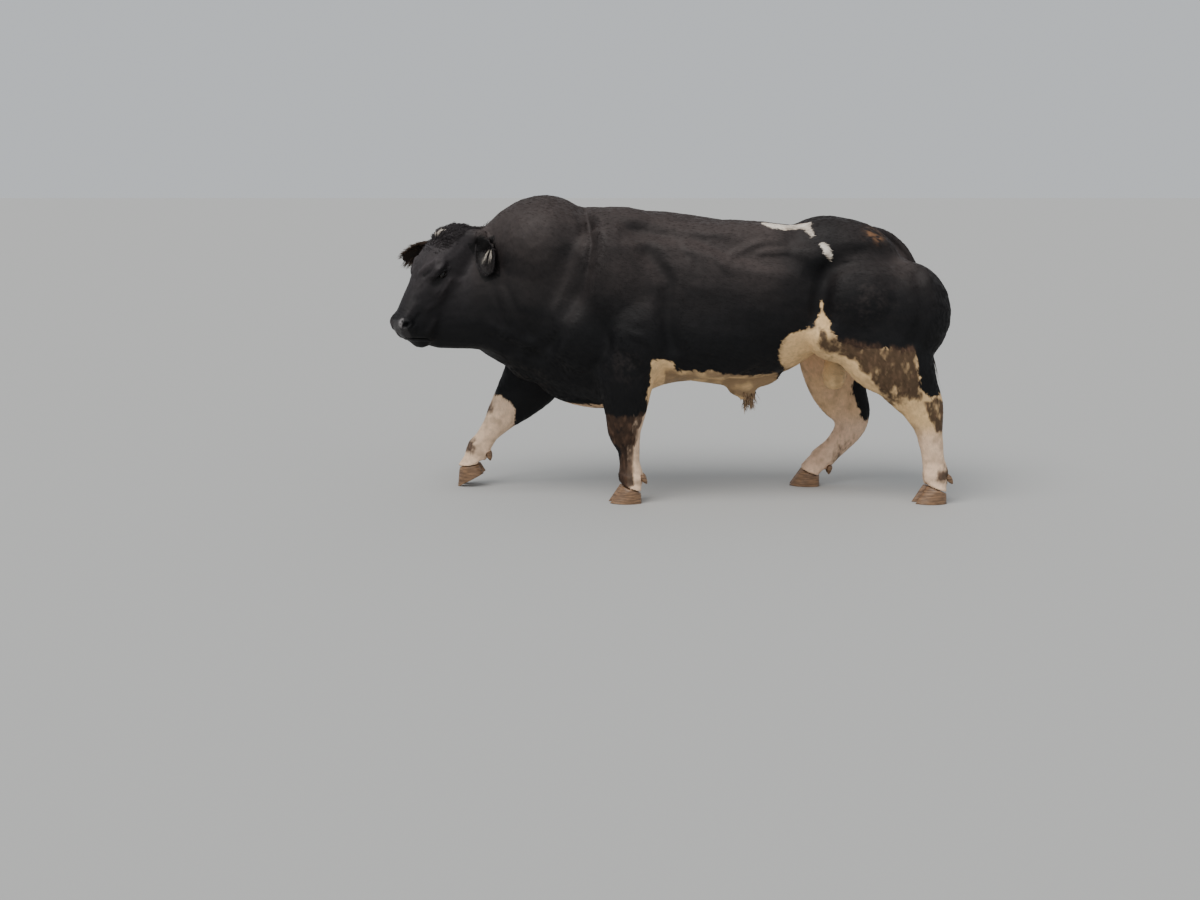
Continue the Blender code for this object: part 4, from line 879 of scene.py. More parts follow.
def unwrap_of(skin):
    """A coarse copy of the skin with its unwrap: nearest-face lookup and the corners' places."""
    copy = link(skin.data.copy(), "unwrap")
    ratio = min(1.0, UNWRAP_FACES / len(copy.data.polygons))
    modified(copy, "DECIMATE", ratio=ratio)
    bpy.context.view_layer.objects.active = copy
    copy.select_set(True)
    bpy.ops.object.mode_set(mode="EDIT")
    bpy.ops.mesh.select_all(action="SELECT")
    bpy.ops.uv.smart_project(angle_limit=math.radians(66), island_margin=0.004)
    bpy.ops.object.mode_set(mode="OBJECT")
    mesh = copy.data
    mesh.calc_loop_triangles()
    corners = values_of(mesh.loop_triangles, "vertices", 3, np.int32)
    loops = values_of(mesh.loop_triangles, "loops", 3, np.int32)
    flat = values_of(mesh.uv_layers.active.data, "uv", 2)
    points = points_of(mesh)
    tree = BVHTree.FromPolygons(points.tolist(), corners.tolist())
    bpy.data.objects.remove(copy)
    return tree, points[corners], flat[loops]


def unwrapped(unwrap, roots):
    """The place on the unwrap for each root."""
    tree, triangles, flat = unwrap
    found = [tree.find_nearest(root) for root in roots.tolist()]
    at = np.array([hit[0] for hit in found])
    index = np.array([hit[2] for hit in found])
    a, b, c = triangles[index].transpose(1, 0, 2)
    first, second, reach = b - a, c - a, at - a

    def dot(one, other):
        return (one * other).sum(1)

    both = dot(first, second)
    base = np.maximum(dot(first, first) * dot(second, second) - both * both, 1e-18)
    v = (dot(second, second) * dot(reach, first) - both * dot(reach, second)) / base
    w = (dot(first, first) * dot(reach, second) - both * dot(reach, first)) / base
    v, w = np.clip(v, 0, 1), np.clip(w, 0, 1)
    share = np.c_[np.clip(1 - v - w, 0, 1), v, w]
    share /= share.sum(1, keepdims=True)
    return (flat[index] * share[:, :, None]).sum(1)


# Lie of the hair on the back, on the legs, and on the neck and the rump; the whorl's place on the
# forehead, down the face from the poll
BACKWARD = (1.0, 0.0, -0.28)
DOWN_LEG = (0.10, 0.0, -1.0)
DOWN_SIDE = (0.35, 0.0, -1.0)
WHORL = 0.15

# Tufts: how many, limits of length, width, thickness and lift, and the depth of the root; then, for
# each of the seven points, its place on the bake map, its tone and how far its shading leans
TUFTS = 98000
TUFTS_PER_PIECE = 18000
TUFT_SIZES = ((0.014, 0.026), (0.0024, 0.0042), (0.0005, 0.0010), (0.0, 0.0018))
TUFT_ROOT_DEPTH = 0.0016
TUFT_MAP = np.array([(1, -1), (-1, -1), (0, -0.7), (0.8, 0), (-0.8, 0), (0, 0.2), (0, 1)])
TUFT_TONE = np.array([0.92, 0.92, 0.97, 1.0, 1.0, 1.02, 1.06])
TUFT_LEAN = np.array([0.35, -0.35, 0.0, 0.35, -0.35, 0.0, 0.0])
TUFT_FACES = np.array([(0, 1, 2), (0, 2, 5), (0, 5, 3), (2, 1, 4), (2, 4, 5), (1, 0, 3),
                       (1, 3, 4), (3, 5, 6), (5, 4, 6), (4, 3, 6)])
# Side of a tuft's patch on the bake map
PATCH = 0.003

# Locks: width along the lock, and how deep the root sits
LOCK_PROFILE = ((0, 0.25, 0.6, 1.0), (0.7, 1.0, 0.75, 0.0))
LOCK_ROOT_DEPTH = 0.003

# Tail switch: its heights, and the tail's x, z and radius along it
SWITCH_TOP = 0.83
SWITCH_TIP = 0.450
SWITCH_ROOTS = 0.56
TAIL_LINE = [(1.274, 0.83, 0.018), (1.282, 0.74, 0.021), (1.296, 0.66, 0.020),
             (1.312, 0.58, 0.013), (1.324, 0.50, 0.004)]

# Gloss of the coat, and the height of one growth ring of a claw
COAT_SPECULAR = 0.20
COAT_ROUGHNESS = 0.55
CLAW_RING = 0.0085


def flow(points, normals):
    """The way the hair lies at each point."""
    x, y, z = in_plan(points).T
    local = in_head(points)
    legs = ramp(0.80 - z, 0.0, 0.25) * ramp(np.abs(y), 0.06, 0.14)
    rump = ramp(x, 0.85, 1.15)
    neck = 0.55 * ramp(-0.45 - x, 0.0, 0.35) * ramp(np.abs(normals[:, 1]), 0.1, 0.6)
    way = mix(mix(mix(BACKWARD, DOWN_LEG, legs), DOWN_SIDE, rump), DOWN_SIDE, neck)
    # Face: from a whorl on the forehead down to the muzzle, and over the cheeks to the throat
    ahead = local[:, 0] - WHORL
    ahead = np.where(ahead > 0, ahead + 0.05, ahead)
    inward = unit(np.c_[ahead, local[:, 1] * 1.2, np.zeros(len(points))])
    inward = mix(inward, (-0.45, 0.0, -1.0), ramp(-local[:, 2], 0.05, 0.16))
    world = inward @ np.array(HEAD.to_3x3()).T
    on_head = ramp(HEAD_FROM - x, 0.0, 0.06) * ramp(local[:, 0], -0.08, 0.02)
    way = mix(unit(way), unit(world), on_head)
    for strength, size, seeds in ((0.22, 0.16, (41, 42, 43)), (0.16, 0.03, (44, 45, 46))):
        way += strength * np.stack([noise(points, size, seed) for seed in seeds], axis=1)
    way -= normals * (way * normals).sum(1, keepdims=True)
    return unit(way)


def sample(mesh, weight_of, count, rng):
    """Random places on the skin, as many per area as the weight says: point and normal."""
    mesh.calc_loop_triangles()
    corners = values_of(mesh.loop_triangles, "vertices", 3, np.int32)
    points = points_of(mesh)
    a, b, c = points[corners].transpose(1, 0, 2)
    area = np.linalg.norm(np.cross(b - a, c - a), axis=1) / 2
    weight = area * weight_of((a + b + c) / 3)
    chosen = corners[rng.choice(len(corners), count, p=weight / weight.sum())]
    u, v = rng.random(count), rng.random(count)
    over = u + v > 1
    u[over], v[over] = 1 - u[over], 1 - v[over]
    share = np.c_[1 - u - v, u, v][:, :, None]
    return (points[chosen] * share).sum(1), unit((normals_of(mesh)[chosen] * share).sum(1))


def tuft_arrays(root, normal, way, length, width, thick, lift):
    """Closed tufts of seven points and ten triangles each, lying along the way given."""
    length, width, thick, lift = (v[:, None] for v in (length, width, thick, lift))
    half = unit(np.cross(normal, way)) * width / 2
    down = normal * TUFT_ROOT_DEPTH
    mid = root + way * length * 0.5 + normal * lift * 0.62
    tip = root + way * length + normal * lift
    points = np.stack([
        root + half - down,
        root - half - down,
        root + normal * thick,
        mid + half * 0.85 - normal * thick * 0.35,
        mid - half * 0.85 - normal * thick * 0.35,
        mid + normal * thick * 0.75,
        tip,
    ], axis=1)
    all_faces = (np.arange(len(root)) * len(TUFT_MAP))[:, None, None] + TUFT_FACES
    return points.reshape(-1, 3), all_faces.reshape(-1, 3)


def coat_piece(name, points, faces, colours, places, offsets, material):
    """One piece of the coat, with its colours and its bake map."""
    mesh = mesh_from(name, points, faces)
    paint_attribute(mesh, "Coat", colours)
    layer = mesh.uv_layers.new(name="OFBake")
    spots = np.clip(places + offsets * PATCH / 2, 0.0005, 0.9995)
    layer.data.foreach_set("uv", spots[faces.ravel()].astype(np.float32).ravel())
    thing = link(mesh, name)
    finished(thing, material, "black_coat")
    return mesh


def short_coat(skin, unwrap, material):
    """The short hair over the whole body, smallest on the face and the feet."""
    rng = np.random.default_rng(SEED)
    count = TUFTS

    def weight_of(points):
        local = in_head(points)
        head = ramp(local[:, 0], 0.0, 0.08) * (in_plan(points)[:, 0] < HEAD_FROM)
        low = ramp(0.5 - points[:, 2], 0.0, 0.3)
        bare = head * ramp(pad_reach(local), 0.545, 0.558)
        bare *= local[:, 2] > -0.14
        weight = 1.0 + 2.4 * head + 0.9 * low
        for eye in EYES.values():
            weight *= ramp(np.linalg.norm(points - np.array(eye[0]), axis=1), 0.022, 0.036)
        return weight * (1 - bare) * (points[:, 2] > 0.075)

    root, normal = sample(skin.data, weight_of, count, rng)
    way = flow(root, normal)
    local = in_head(root)
    head = ramp(local[:, 0], -0.02, 0.10) * (in_plan(root)[:, 0] < HEAD_FROM)
    nose = head * ramp(local[:, 0], 0.30, 0.46)
    low = ramp(0.45 - root[:, 2], 0.0, 0.35)
    size = (1 - 0.55 * head) * (1 - 0.35 * nose) * (1 - 0.45 * low)
    size *= 0.45 + 0.55 * ramp(from_eyes(root), 0.03, 0.07)
    length, width, thick, lift = (size * rng.uniform(*limits, count) for limits in TUFT_SIZES)
    points, faces = tuft_arrays(root, normal, way, length, width, thick, lift)
    colour = coat_colour(root + way * (length * 0.4)[:, None], normal, spread=1.0)
    colours = (colour[:, None, :] * TUFT_TONE[None, :, None]).reshape(-1, 3)
    corners, sides = len(TUFT_MAP), len(TUFT_FACES)
    places = np.repeat(unwrapped(unwrap, root), corners, axis=0)
    offsets = np.tile(TUFT_MAP, (count, 1))
    lean = unit(np.cross(normal, way))[:, None, :] * TUFT_LEAN[None, :, None]
    shading = unit((normal[:, None, :] + lean).reshape(-1, 3))
    for part in range(math.ceil(count / TUFTS_PER_PIECE)):
        low, high = part * TUFTS_PER_PIECE, min(count, (part + 1) * TUFTS_PER_PIECE)
        span = slice(low * corners, high * corners)
        mesh = coat_piece(f"coat_{part:02d}", points[span],
                          faces[low * sides:high * sides] - low * corners,
                          colours[span], places[span], offsets[span], material)
        mesh.normals_split_custom_set_from_vertices(shading[span])


def lock_arrays(paths, normals, width, flat):
    """Closed tapered locks along paths (n, k, 3), four points round and a pointed tip."""
    count, steps = paths.shape[:2]
    ahead = unit(np.gradient(paths, axis=1).reshape(-1, 3)).reshape(paths.shape)
    rise = normals[:, None, :] - ahead * (normals[:, None, :] * ahead).sum(2, keepdims=True)
    rise = unit(rise.reshape(-1, 3)).reshape(paths.shape)
    side = np.cross(rise, ahead)
    profile = np.interp(np.linspace(0, 1, steps), *LOCK_PROFILE)[None, :, None]
    half = width[:, None, None] / 2 * profile
    rings = np.stack([paths + side * half, paths + rise * half * flat,
                      paths - side * half, paths - rise * half * flat], axis=2)[:, :-1]
    points = np.concatenate([rings.reshape(count, -1, 3), paths[:, -1:, :]], axis=1)
    per = points.shape[1]
    end = (steps - 2) * 4
    faces = [(0, 3, 1), (1, 3, 2)] + ring_faces(steps - 1, 4)
    faces += [(end + n, end + (n + 1) % 4, per - 1) for n in range(4)]
    all_faces = (np.arange(count) * per)[:, None, None] + np.array(faces)
    tones = np.concatenate([np.repeat(np.linspace(0.72, 1.1, steps - 1), 4), [1.2]])
    return points.reshape(-1, 3), all_faces.reshape(-1, 3), tones, per


def lock_piece(name, paths, normals, width, flat, colour, unwrap, material):
    """Locks along the paths as one piece of the coat, each in its own colour."""
    points, faces, tones, per = lock_arrays(paths, normals, width, flat)
    colours = np.clip(colour[:, None, :] * tones[None, :, None], 0, 1).reshape(-1, 3)
    places = np.repeat(unwrapped(unwrap, paths[:, 0]), per, axis=0)
    angle = np.linspace(0, 2 * math.pi * 3, per)
    offsets = np.tile(np.c_[np.cos(angle), np.linspace(-1, 1, per)], (len(paths), 1))
    coat_piece(name, points, faces, colours, places, offsets, material)


def curl_paths(root, normal, way, length, rise, curl, turns, steps, rng):
    """Paths that run along the way given and wind as they go."""
    phase = rng.uniform(0, 2 * math.pi, len(root))[:, None, None]
    length, rise, curl, turns = (v[:, None, None] for v in (length, rise, curl, turns))
    side, normal, way = (v[:, None, :] for v in (unit(np.cross(normal, way)), normal, way))
    t = np.linspace(0, 1, steps)[None, :, None]
    spin = 2 * math.pi * turns * t + phase
    swing = curl * t**0.7
    path = root[:, None, :] + way * length * t + normal * rise * np.sin(math.pi * t * 0.75)
    path = path + side * swing * (np.cos(spin) - np.cos(phase))
    path = path + normal * swing * (np.sin(spin) - np.sin(phase)) * 0.6
    path[:, :1] -= normal * LOCK_ROOT_DEPTH
    return path


def poll_curls(skin, unwrap, material):
    """Woolly curls over the poll and the forehead."""
    rng = np.random.default_rng(SEED + 1)
    count = 1500

    def weight_of(points):
        local = in_head(points)
        along = ramp(local[:, 0], -0.12, -0.07) * ramp(0.20 - local[:, 0], 0.0, 0.10)
        across = ramp(0.115 - np.abs(local[:, 1]), 0.0, 0.03)
        return along * across * ramp(local[:, 2], -0.14, -0.09) + 1e-9

    root, normal = sample(skin.data, weight_of, count, rng)
    fade = ramp(0.19 - in_head(root)[:, 0], 0.0, 0.12)
    length = (0.45 + 0.55 * fade) * rng.uniform(0.016, 0.034, count)
    rise = (0.3 + 0.7 * fade) * rng.uniform(0.003, 0.010, count)
    curl = (0.4 + 0.6 * fade) * rng.uniform(0.002, 0.0055, count)
    turns = rng.uniform(0.6, 1.5, count)
    paths = curl_paths(root, normal, flow(root, normal), length, rise, curl, turns, 7, rng)
    width = (0.6 + 0.4 * fade) * rng.uniform(0.0024, 0.0044, count)
    colour = coat_colour(root, normal, spread=1.2, seed=3)
    lock_piece("coat_poll", paths, normal, width, 0.7, colour, unwrap, material)


def ear_hair(unwrap, material):
    """Pale hairs that hang from the ear's opening, and short dark ones along its rims."""
    rng = np.random.default_rng(SEED + 2)
    count = 760
    for which in EARS:
        root, aim, opens, across = (np.array(v) for v in ear_axes(which))
        dark, fringe, pale_share, hang = EAR_COATS[which]
        pale = rng.random(count) < pale_share
        front = rng.random(count) < 0.5
        group = np.where(front, 0.32, 0.36)
        s = np.where(pale, group + rng.normal(0, 0.012, count), rng.uniform(0.06, 0.97, count))
        places, widths, cups, _ = np.array(EAR_SHAPE).T
        width = EAR_WIDTH * np.interp(s, places, widths)
        cup = np.interp(s, places, cups)
        rims = np.where(rng.random(count) < 0.5, 0.0, math.pi)
        rims = np.where(rng.random(count) < 0.35, rng.uniform(0, math.pi, count), rims)
        angle = np.where(pale, np.where(front, 0.60, 0.70) * math.pi, rims)
        base = root + aim * (s * EAR_LENGTH)[:, None]
        base = base - opens * (EAR_BEND * s**2 * EAR_LENGTH)[:, None]
        base = base + across * (width * np.cos(angle))[:, None] * 0.94
        base = base - opens * (width * cup * np.sin(angle) * 0.80)[:, None]
        normal = unit(opens + 0.1 * rng.normal(0, 1, (count, 3)))
        out = across * np.sign(np.cos(angle))[:, None]
        hang = np.where(front[:, None], unit(np.array([hang])), (0.02, -0.40, -0.92))
        hang = hang + 0.04 * rng.normal(0, 1, (count, 3))
        spread = aim * 0.8 + out * 0.5 + opens * 0.25 + 0.12 * rng.normal(0, 1, (count, 3))
        way = unit(np.where(pale[:, None], hang, spread))
        length = rng.uniform(0.065, 0.100, count)
        length = np.where(pale, length, rng.uniform(0.4, 1.0, count) * fringe)
        turns = rng.uniform(0.2, 0.6, count)
        paths = curl_paths(base, normal, way, length, length * 0.06, length * 0.06, turns, 6, rng)
        wide = rng.uniform(0.0011, 0.0018, count)
        wide = np.where(pale, wide, rng.uniform(0.0014, 0.0024, count))
        colour = np.where(pale[:, None], EAR_PALE, dark) * rng.uniform(0.6, 1.3, (count, 1))
        lock_piece(f"coat_ear_{which}", paths, normal, wide, 0.7, colour, unwrap, material)


def tail_switch(unwrap, material):
    """The muddy switch at the tail's end."""
    rng = np.random.default_rng(SEED + 3)
    count = 620
    z = SWITCH_TOP - (SWITCH_TOP - SWITCH_ROOTS) * rng.random(count) ** 0.8
    places, levels, radii = np.array(TAIL_LINE).T
    x = np.interp(-z, -levels, places) + PLAN.x
    radius = np.interp(-z, -levels, radii)
    angle = rng.uniform(0, 2 * math.pi, count)
    normal = np.c_[np.cos(angle), np.sin(angle), np.zeros(count)]
    root = np.c_[x, np.zeros(count), z] + normal * (radius * 0.6)[:, None]
    reach = np.minimum(rng.uniform(0.10, 0.20, count), z - SWITCH_TIP)
    way = unit(np.array([0.12, 0.0, -1.0]) + normal * 0.05 + rng.normal(0, 0.05, (count, 3)))
    rise = rng.uniform(0.002, 0.012, count)
    curl = rng.uniform(0.002, 0.008, count)
    turns = rng.uniform(0.4, 1.4, count)
    paths = curl_paths(root, normal, way, reach, rise, curl, turns, 8, rng)
    width = rng.uniform(0.003, 0.006, count)
    colour = mix(BLACK, SWITCH_MUD, ramp(0.80 - z, 0.0, 0.10)) * rng.uniform(0.6, 1.3, (count, 1))
    lock_piece("coat_switch", paths, normal, width, 0.6, colour, unwrap, material)


def sheath_tuft(skin, unwrap, material):
    """The tuft of hair at the sheath's opening."""
    rng = np.random.default_rng(SEED + 4)
    count = 170

    def weight_of(points):
        x, y, z = in_plan(points).T
        near = ramp(x, 0.345, 0.37) * ramp(0.445 - x, 0.0, 0.02) * (np.abs(y) < 0.035)
        return near * ramp(0.535 - z, 0.0, 0.02) + 1e-9

    root, normal = sample(skin.data, weight_of, count, rng)
    way = unit(np.array([0.05, 0.0, -1.0]) + normal * 0.15 + rng.normal(0, 0.14, (count, 3)))
    length = rng.uniform(0.030, 0.058, count)
    turns = rng.uniform(0.3, 0.9, count)
    paths = curl_paths(root, normal, way, length, length * 0.06, length * 0.10, turns, 7, rng)
    width = rng.uniform(0.0026, 0.0046, count)
    colour = np.where(rng.random((count, 1)) < 0.55, *SHEATH_COLOURS)
    colour = colour * rng.uniform(0.7, 1.25, (count, 1))
    lock_piece("coat_sheath", paths, normal, width, 0.6, colour, unwrap, material)


def lashes(unwrap, material):
    """Dark lashes along each upper lid."""
    rng = np.random.default_rng(SEED + 5)
    rows = []
    for middle, out, along, up in EYES.values():
        for k in range(LASHES):
            t = (k + rng.uniform(-0.4, 0.4)) / (LASHES - 1) * 2 - 1
            angle = math.radians(90 - 78 * t)
            u = math.cos(angle) * EYE_OPENING[0] * 1.10
            v = math.sin(angle) * EYE_OPENING[1] * 1.15
            w = math.sqrt(max(EYE_RADIUS**2 - u * u - v * v, 0.0)) + 0.004
            way = (out * 0.85 + along * 0.55 * t - up * 0.10).normalized()
            length = rng.uniform(0.009, 0.015) * (1 - 0.35 * abs(t))
            rows.append((*(middle + along * u + up * v + out * w), *up, *way, length))
    rows = np.array(rows)
    base, normal, way, length = np.split(rows, (3, 6, 9), axis=1)
    t = np.linspace(0, 1, 6)[None, :, None]
    length = length[:, None]
    paths = base[:, None] + way[:, None] * length * t - normal[:, None] * length * 0.25 * t**2
    width = np.full(len(rows), 0.0011)
    colour = np.tile(LASH_COLOUR, (len(rows), 1))
    lock_piece("coat_lashes", paths, normal, width, 1.0, colour, unwrap, material)


def feed(tree, node, inputs):
    """Sets a node's inputs to values, or links them where the value is another node's output."""
    for name, value in inputs.items():
        if isinstance(value, bpy.types.NodeSocket):
            tree.links.new(value, node.inputs[name])
        else:
            node.inputs[name].default_value = value


def add_node(tree, kind, inputs, **fields):
    """A shader node with its fields and inputs set."""
    node = tree.nodes.new("ShaderNode" + kind)
    for name, value in fields.items():
        setattr(node, name, value)
    feed(tree, node, inputs)
    return node


def new_material(name, **inputs):
    """A material with its node tree and its shader, whose inputs are set as given."""
    material = bpy.data.materials.new(name)
    material.use_nodes = True
    tree = material.node_tree
    shader = tree.nodes["Principled BSDF"]
    feed(tree, shader, {key.replace("_", " "): value for key, value in inputs.items()})
    return material, tree, shader


def coloured(tree, shader, layer, size, strength):
    """The stored colour, broken up by fine noise, on the shader's base."""
    colour = add_node(tree, "Attribute", {}, attribute_name=layer).outputs["Color"]
    place = add_node(tree, "TexCoord", {}).outputs["Object"]
    spots = add_node(tree, "TexNoise", {"Vector": place, "Scale": size, "Detail": 4})
    level = add_node(tree, "MapRange", {"Value": spots.outputs["Fac"], "To Min": 1 - strength,
                                        "To Max": 1 + strength}).outputs["Result"]
    mixed = add_node(tree, "VectorMath", {0: colour, "Scale": level}, operation="SCALE")
    feed(tree, shader, {"Base Color": mixed.outputs["Vector"]})
    return place


def streaks(tree, place, stretch, size):
    """Noise drawn out along one axis, like combed hair."""
    drawn = add_node(tree, "Mapping", {"Vector": place, "Scale": stretch}).outputs["Vector"]
    fine = add_node(tree, "TexNoise", {"Vector": drawn, "Scale": size, "Detail": 5,
                                       "Roughness": 0.6})
    return fine.outputs["Fac"]


def raised(tree, shader, height, strength, distance):
    """Gives the shader the fine relief of a height."""
    bump = add_node(tree, "Bump", {"Height": height, "Strength": strength, "Distance": distance})
    feed(tree, shader, {"Normal": bump.outputs["Normal"]})


def skin_material():
    """Short hair combed along the body and down the legs, shinier where it is wet."""
    material, tree, shader = new_material("short_coat", Specular_IOR_Level=COAT_SPECULAR)
    place = coloured(tree, shader, "Coat", 180.0, 0.16)
    lie = add_node(tree, "Attribute", {}, attribute_name="Lie").outputs["Fac"]
    along = streaks(tree, place, (0.16, 1.0, 1.0), 420.0)
    down = streaks(tree, place, (1.0, 1.0, 0.16), 420.0)
    height = add_node(tree, "Mix", {0: lie, 2: along, 3: down}, data_type="FLOAT")
    raised(tree, shader, height.outputs[0], 0.55, 0.0016)
    wet = add_node(tree, "Attribute", {}, attribute_name="Wet").outputs["Fac"]
    rough = add_node(tree, "MapRange", {"Value": wet, "To Min": COAT_ROUGHNESS, "To Max": 0.24})
    feed(tree, shader, {"Roughness": rough.outputs["Result"]})
    return material


def hair_material():
    """The coat's own colour on every tuft and lock."""
    material, tree, shader = new_material("coat_hair", Roughness=COAT_ROUGHNESS,
                                          Specular_IOR_Level=COAT_SPECULAR)
    coloured(tree, shader, "Coat", 260.0, 0.12)
    return material


def horn_material():
    """Brown horn with level growth bands and fine upright grain."""
    material, tree, shader = new_material("claw_horn", Roughness=0.46)
    place = add_node(tree, "TexCoord", {}).outputs["Object"]
    bands = streaks(tree, place, (0.12, 0.12, 1.0), 160.0)
    fine = streaks(tree, place, (1.0, 1.0, 0.10), 300.0)
    colours = add_node(tree, "ValToRGB", {"Fac": bands})
    for element, (position, colour) in zip(colours.color_ramp.elements, HORN_COLOURS):
        element.position = position
        element.color = (*colour, 1)
    feed(tree, shader, {"Base Color": colours.outputs["Color"]})
    total = add_node(tree, "Math", {0: bands, 1: fine}, operation="ADD")
    raised(tree, shader, total.outputs["Value"], 0.6, 0.0012)
    return material


def eye_material():
    """A dark, wet eye."""
    material, tree, shader = new_material("wet_eye", Roughness=0.16, Specular_IOR_Level=0.35)
    coloured(tree, shader, "Iris", 900.0, 0.10)
    return material


def make_eye(name, material):
    """An eyeball with a slight bulge in front, a dark iris and a long oval pupil."""
    middle, out, along, up = EYES[name]
    work = bmesh.new()
    bmesh.ops.create_uvsphere(work, u_segments=64, v_segments=48, radius=EYE_RADIUS)
    mesh = bpy.data.meshes.new(name)
    work.to_mesh(mesh)
    work.free()
    x, y, z = points_of(mesh).T
    reach = np.hypot(x, y)
    front = z > 0
    bulge = 0.0016 * ramp(IRIS_RADIUS - reach, 0.0, 0.008) * front
    away = reach / IRIS_RADIUS
    rays = 1 + 0.25 * np.sin(np.arctan2(y, x) * 37)
    pupil = np.hypot(x / PUPIL[0], y / PUPIL[1]) < 1
    iris = np.where(pupil[:, None], PUPIL_COLOUR, np.array(IRIS_COLOUR) * rays[:, None])
    colours = mix(iris, IRIS_RIM_COLOUR, ramp(away, 0.92, 1.06))
    colours = mix(colours, EYE_WHITE_COLOUR, ramp(away, 1.10, 1.30))
    colours = np.where(front[:, None], colours, EYE_WHITE_COLOUR)
    set_points(mesh, np.c_[x, y, z + bulge] @ np.array([along, up, out]) + np.array(middle))
    if along.cross(up).dot(out) < 0:
        mesh.flip_normals()
    paint_attribute(mesh, "Iris", colours)
    finished(link(mesh, f"look_{name}"), material, "eye", name)


def make_claw(name, material):
    """A claw with its corners rounded a little and rings of growth round the wall."""
    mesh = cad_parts[name].data.copy()
    mesh.name = f"look_{name}"
    thing = link(mesh, mesh.name)
    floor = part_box(name)[0].z
    with edited(mesh) as work:
        bmesh.ops.remove_doubles(work, verts=work.verts, dist=WELD)
        bmesh.ops.subdivide_edges(work, edges=work.edges, cuts=2, use_grid_fill=True)
    smoothed(thing, np.ones(len(mesh.vertices)), 3)
    points = points_of(thing.data)
    normals = normals_of(thing.data)
    turn = (points[:, 2] - floor) / CLAW_RING * 2 * math.pi + 1.5 * noise(points, 0.03, 51)
    wall = ramp(1 - np.abs(normals[:, 2]), 0.3, 0.6)
    points = points + normals * ((0.0007 * np.sin(turn) - 0.0004) * wall)[:, None]
    points[:, 2] = np.maximum(points[:, 2], floor)
    set_points(thing.data, points)
    finished(thing, material, "horn", name)


def nose_colour(colour, points, local, on_head):
    """The muzzle's bare pad, a painted wet highlight on each nostril's upper rim and painted shade
    inside the nostrils; also returns the pad.
    """
    x, y, z = local.T
    pad = on_head * ramp(pad_reach(local), 0.548, 0.562) * ramp(z, -0.140, -0.128)
    colour = mix(colour, PAD_COLOUR, pad)
    for side in (1, -1):
        a, b, c = (np.c_[x, side * y, z] - np.array(NOSTRIL)).T
        pit = np.sqrt(a**2 + b**2 + c**2)
        # Painted highlight: a pale wet reflection on the upper front rim of the nostril
        ring = bell(pit - 0.022, 0.006) * ramp(c + 0.5 * a - 0.25 * b, 0.006, 0.016)
        ring *= 0.75 * on_head * ramp(noise(points, 0.012, 31), -0.8, 0.2)
        colour = mix(colour, NOSTRIL_HIGHLIGHT_COLOUR, ring)
        # Painted shade inside the nostril
        colour = colour * (1 - 0.9 * on_head * ramp(0.018 - pit, 0.0, 0.006))[:, None]
    return colour, pad


def ear_colour(colour, points, normals):
    """Painted shade inside each cup, and brown over the right ear."""
    for which in EARS:
        root, aim, opens, _ = (np.array(v) for v in ear_axes(which))
        along = (points - root) @ aim
        away = np.linalg.norm(points - root - along[:, None] * aim, axis=1)
        ear = (along > 0.01) & (along < EAR_LENGTH * 1.05) & (away < EAR_WIDTH * 1.25)
        # Painted shade on the inside of the cup, lighter on the right ear
        inner = 0.92 * ear * ramp(normals @ opens, 0.0, 0.4)
        if which == "right":
            colour = mix(colour, EAR_BROWN, 0.7 * ear * ramp(along, 0.02, 0.06))
            inner = inner * 0.6
        colour = mix(colour, EAR_CUP_SHADE, inner)
    return colour


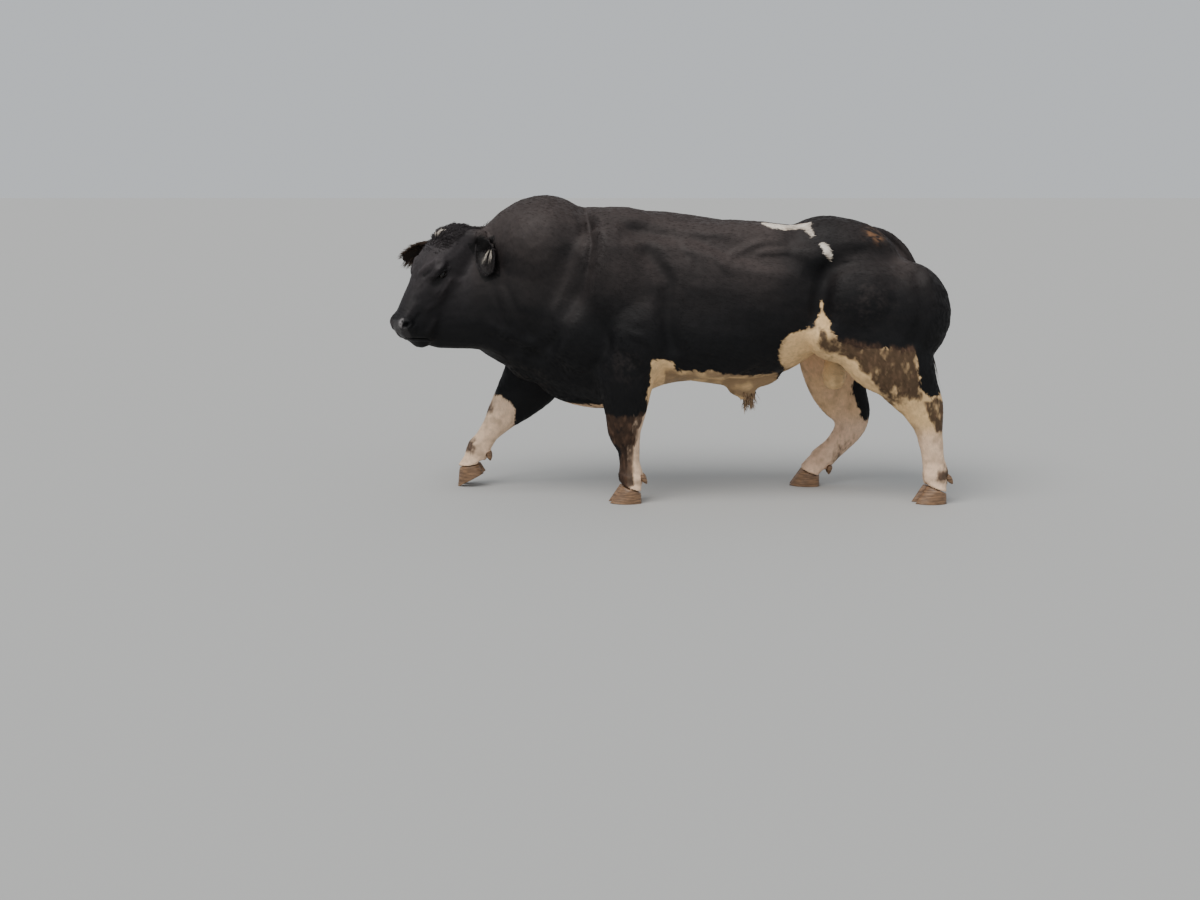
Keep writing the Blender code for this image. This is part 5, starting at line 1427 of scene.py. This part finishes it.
def finish_skin(skin):
    """Colours, wetness and the lie of the hair on the skin."""
    points = points_of(skin.data)
    normals = normals_of(skin.data)
    local = in_head(points)
    on_head = in_plan(points)[:, 0] < HEAD_COLOURS_FROM
    colour, pad = nose_colour(coat_colour(points, normals), points, local, on_head)
    rim = ramp(0.026 - from_eyes(points), 0.0, 0.004)
    colour = mix(colour, EYE_RIM_COLOUR, rim)
    # Painted shade, with a tear stain, in the hollow at each eye's front corner
    hollow = ramp(0.030 - distance_to_path(half_head(points), EYE_HOLLOW), 0.0, 0.018)
    colour = mix(colour, EYE_HOLLOW_SHADE, 0.65 * on_head * hollow)
    colour = ear_colour(colour, points, normals)
    below = local[:, 2] - lip_line(local[:, 0])
    mouth = ramp(local[:, 0], 0.52, 0.54) * on_head
    lip = bell(below, 0.016) * mouth
    colour = mix(colour, LIP_COLOUR, 0.3 * lip)
    # Painted shade along the mouth's line
    colour = colour * (1 - 0.9 * bell(below, 0.0065) * mouth)[:, None]
    lie = ramp(np.abs(flow(points, normals)[:, 2]), 0.45, 0.8)
    paint_attribute(skin.data, "Coat", colour)
    for name, value in (("Wet", np.clip(pad + 0.8 * rim + 0.3 * lip, 0, 1)), ("Lie", lie)):
        paint_attribute(skin.data, name, np.repeat(value[:, None], 3, axis=1))


def sun(name, aim, strength, spread, colour):
    """A soft light from far away."""
    data = bpy.data.lights.new(name, "SUN")
    data.energy = strength
    data.angle = math.radians(spread)
    data.color = colour
    thing = link(data, name)
    thing.rotation_euler = Vector(aim).to_track_quat("-Z", "Y").to_euler()


def studio():
    """Floor, two soft lights, pale surroundings and the camera at the photo's angle."""
    material = new_material("studio_floor", Base_Color=(0.46, 0.46, 0.45, 1), Roughness=0.9)[0]
    bpy.ops.mesh.primitive_plane_add(size=240, location=(0, 0, 0))
    floor = bpy.context.object
    floor.name = "floor"
    floor.data.materials.append(material)
    sun("key", (0.34, 0.46, -0.82), 2.35, 42, (1.0, 0.975, 0.94))
    sun("fill", (-0.55, 0.78, -0.30), 0.26, 70, (0.93, 0.96, 1.0))
    world = bpy.data.worlds.new("studio")
    bpy.context.scene.world = world
    world.use_nodes = True
    tree = world.node_tree
    feed(tree, tree.nodes["Background"], {"Color": (0.92, 0.96, 1.0, 1), "Strength": 0.66})
    data = bpy.data.cameras.new("camera")
    data.lens = CAMERA_LENS
    data.sensor_width = SENSOR_WIDTH
    camera = link(data, "camera")
    camera.location = CAMERA_PLACE + PLAN
    camera.rotation_euler = (math.pi / 2 - CAMERA_DOWN, 0, 0)
    bpy.context.scene.camera = camera


def main():
    skin = make_skin()
    united(skin, [make_ear(which) for which in EARS])
    largest(skin.data)
    finish_skin(skin)
    finished(skin, skin_material(), "black_coat", *FLESH, *LEGS, "ear_left", "ear_right")
    eye = eye_material()
    for name in EYES:
        make_eye(name, eye)
    horn = horn_material()
    for name in sorted(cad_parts):
        if name.startswith(("claw_", "dewclaw_")):
            make_claw(name, horn)
    unwrap = unwrap_of(skin)
    hair = hair_material()
    short_coat(skin, unwrap, hair)
    poll_curls(skin, unwrap, hair)
    ear_hair(unwrap, hair)
    tail_switch(unwrap, hair)
    sheath_tuft(skin, unwrap, hair)
    lashes(unwrap, hair)
    studio()


main()
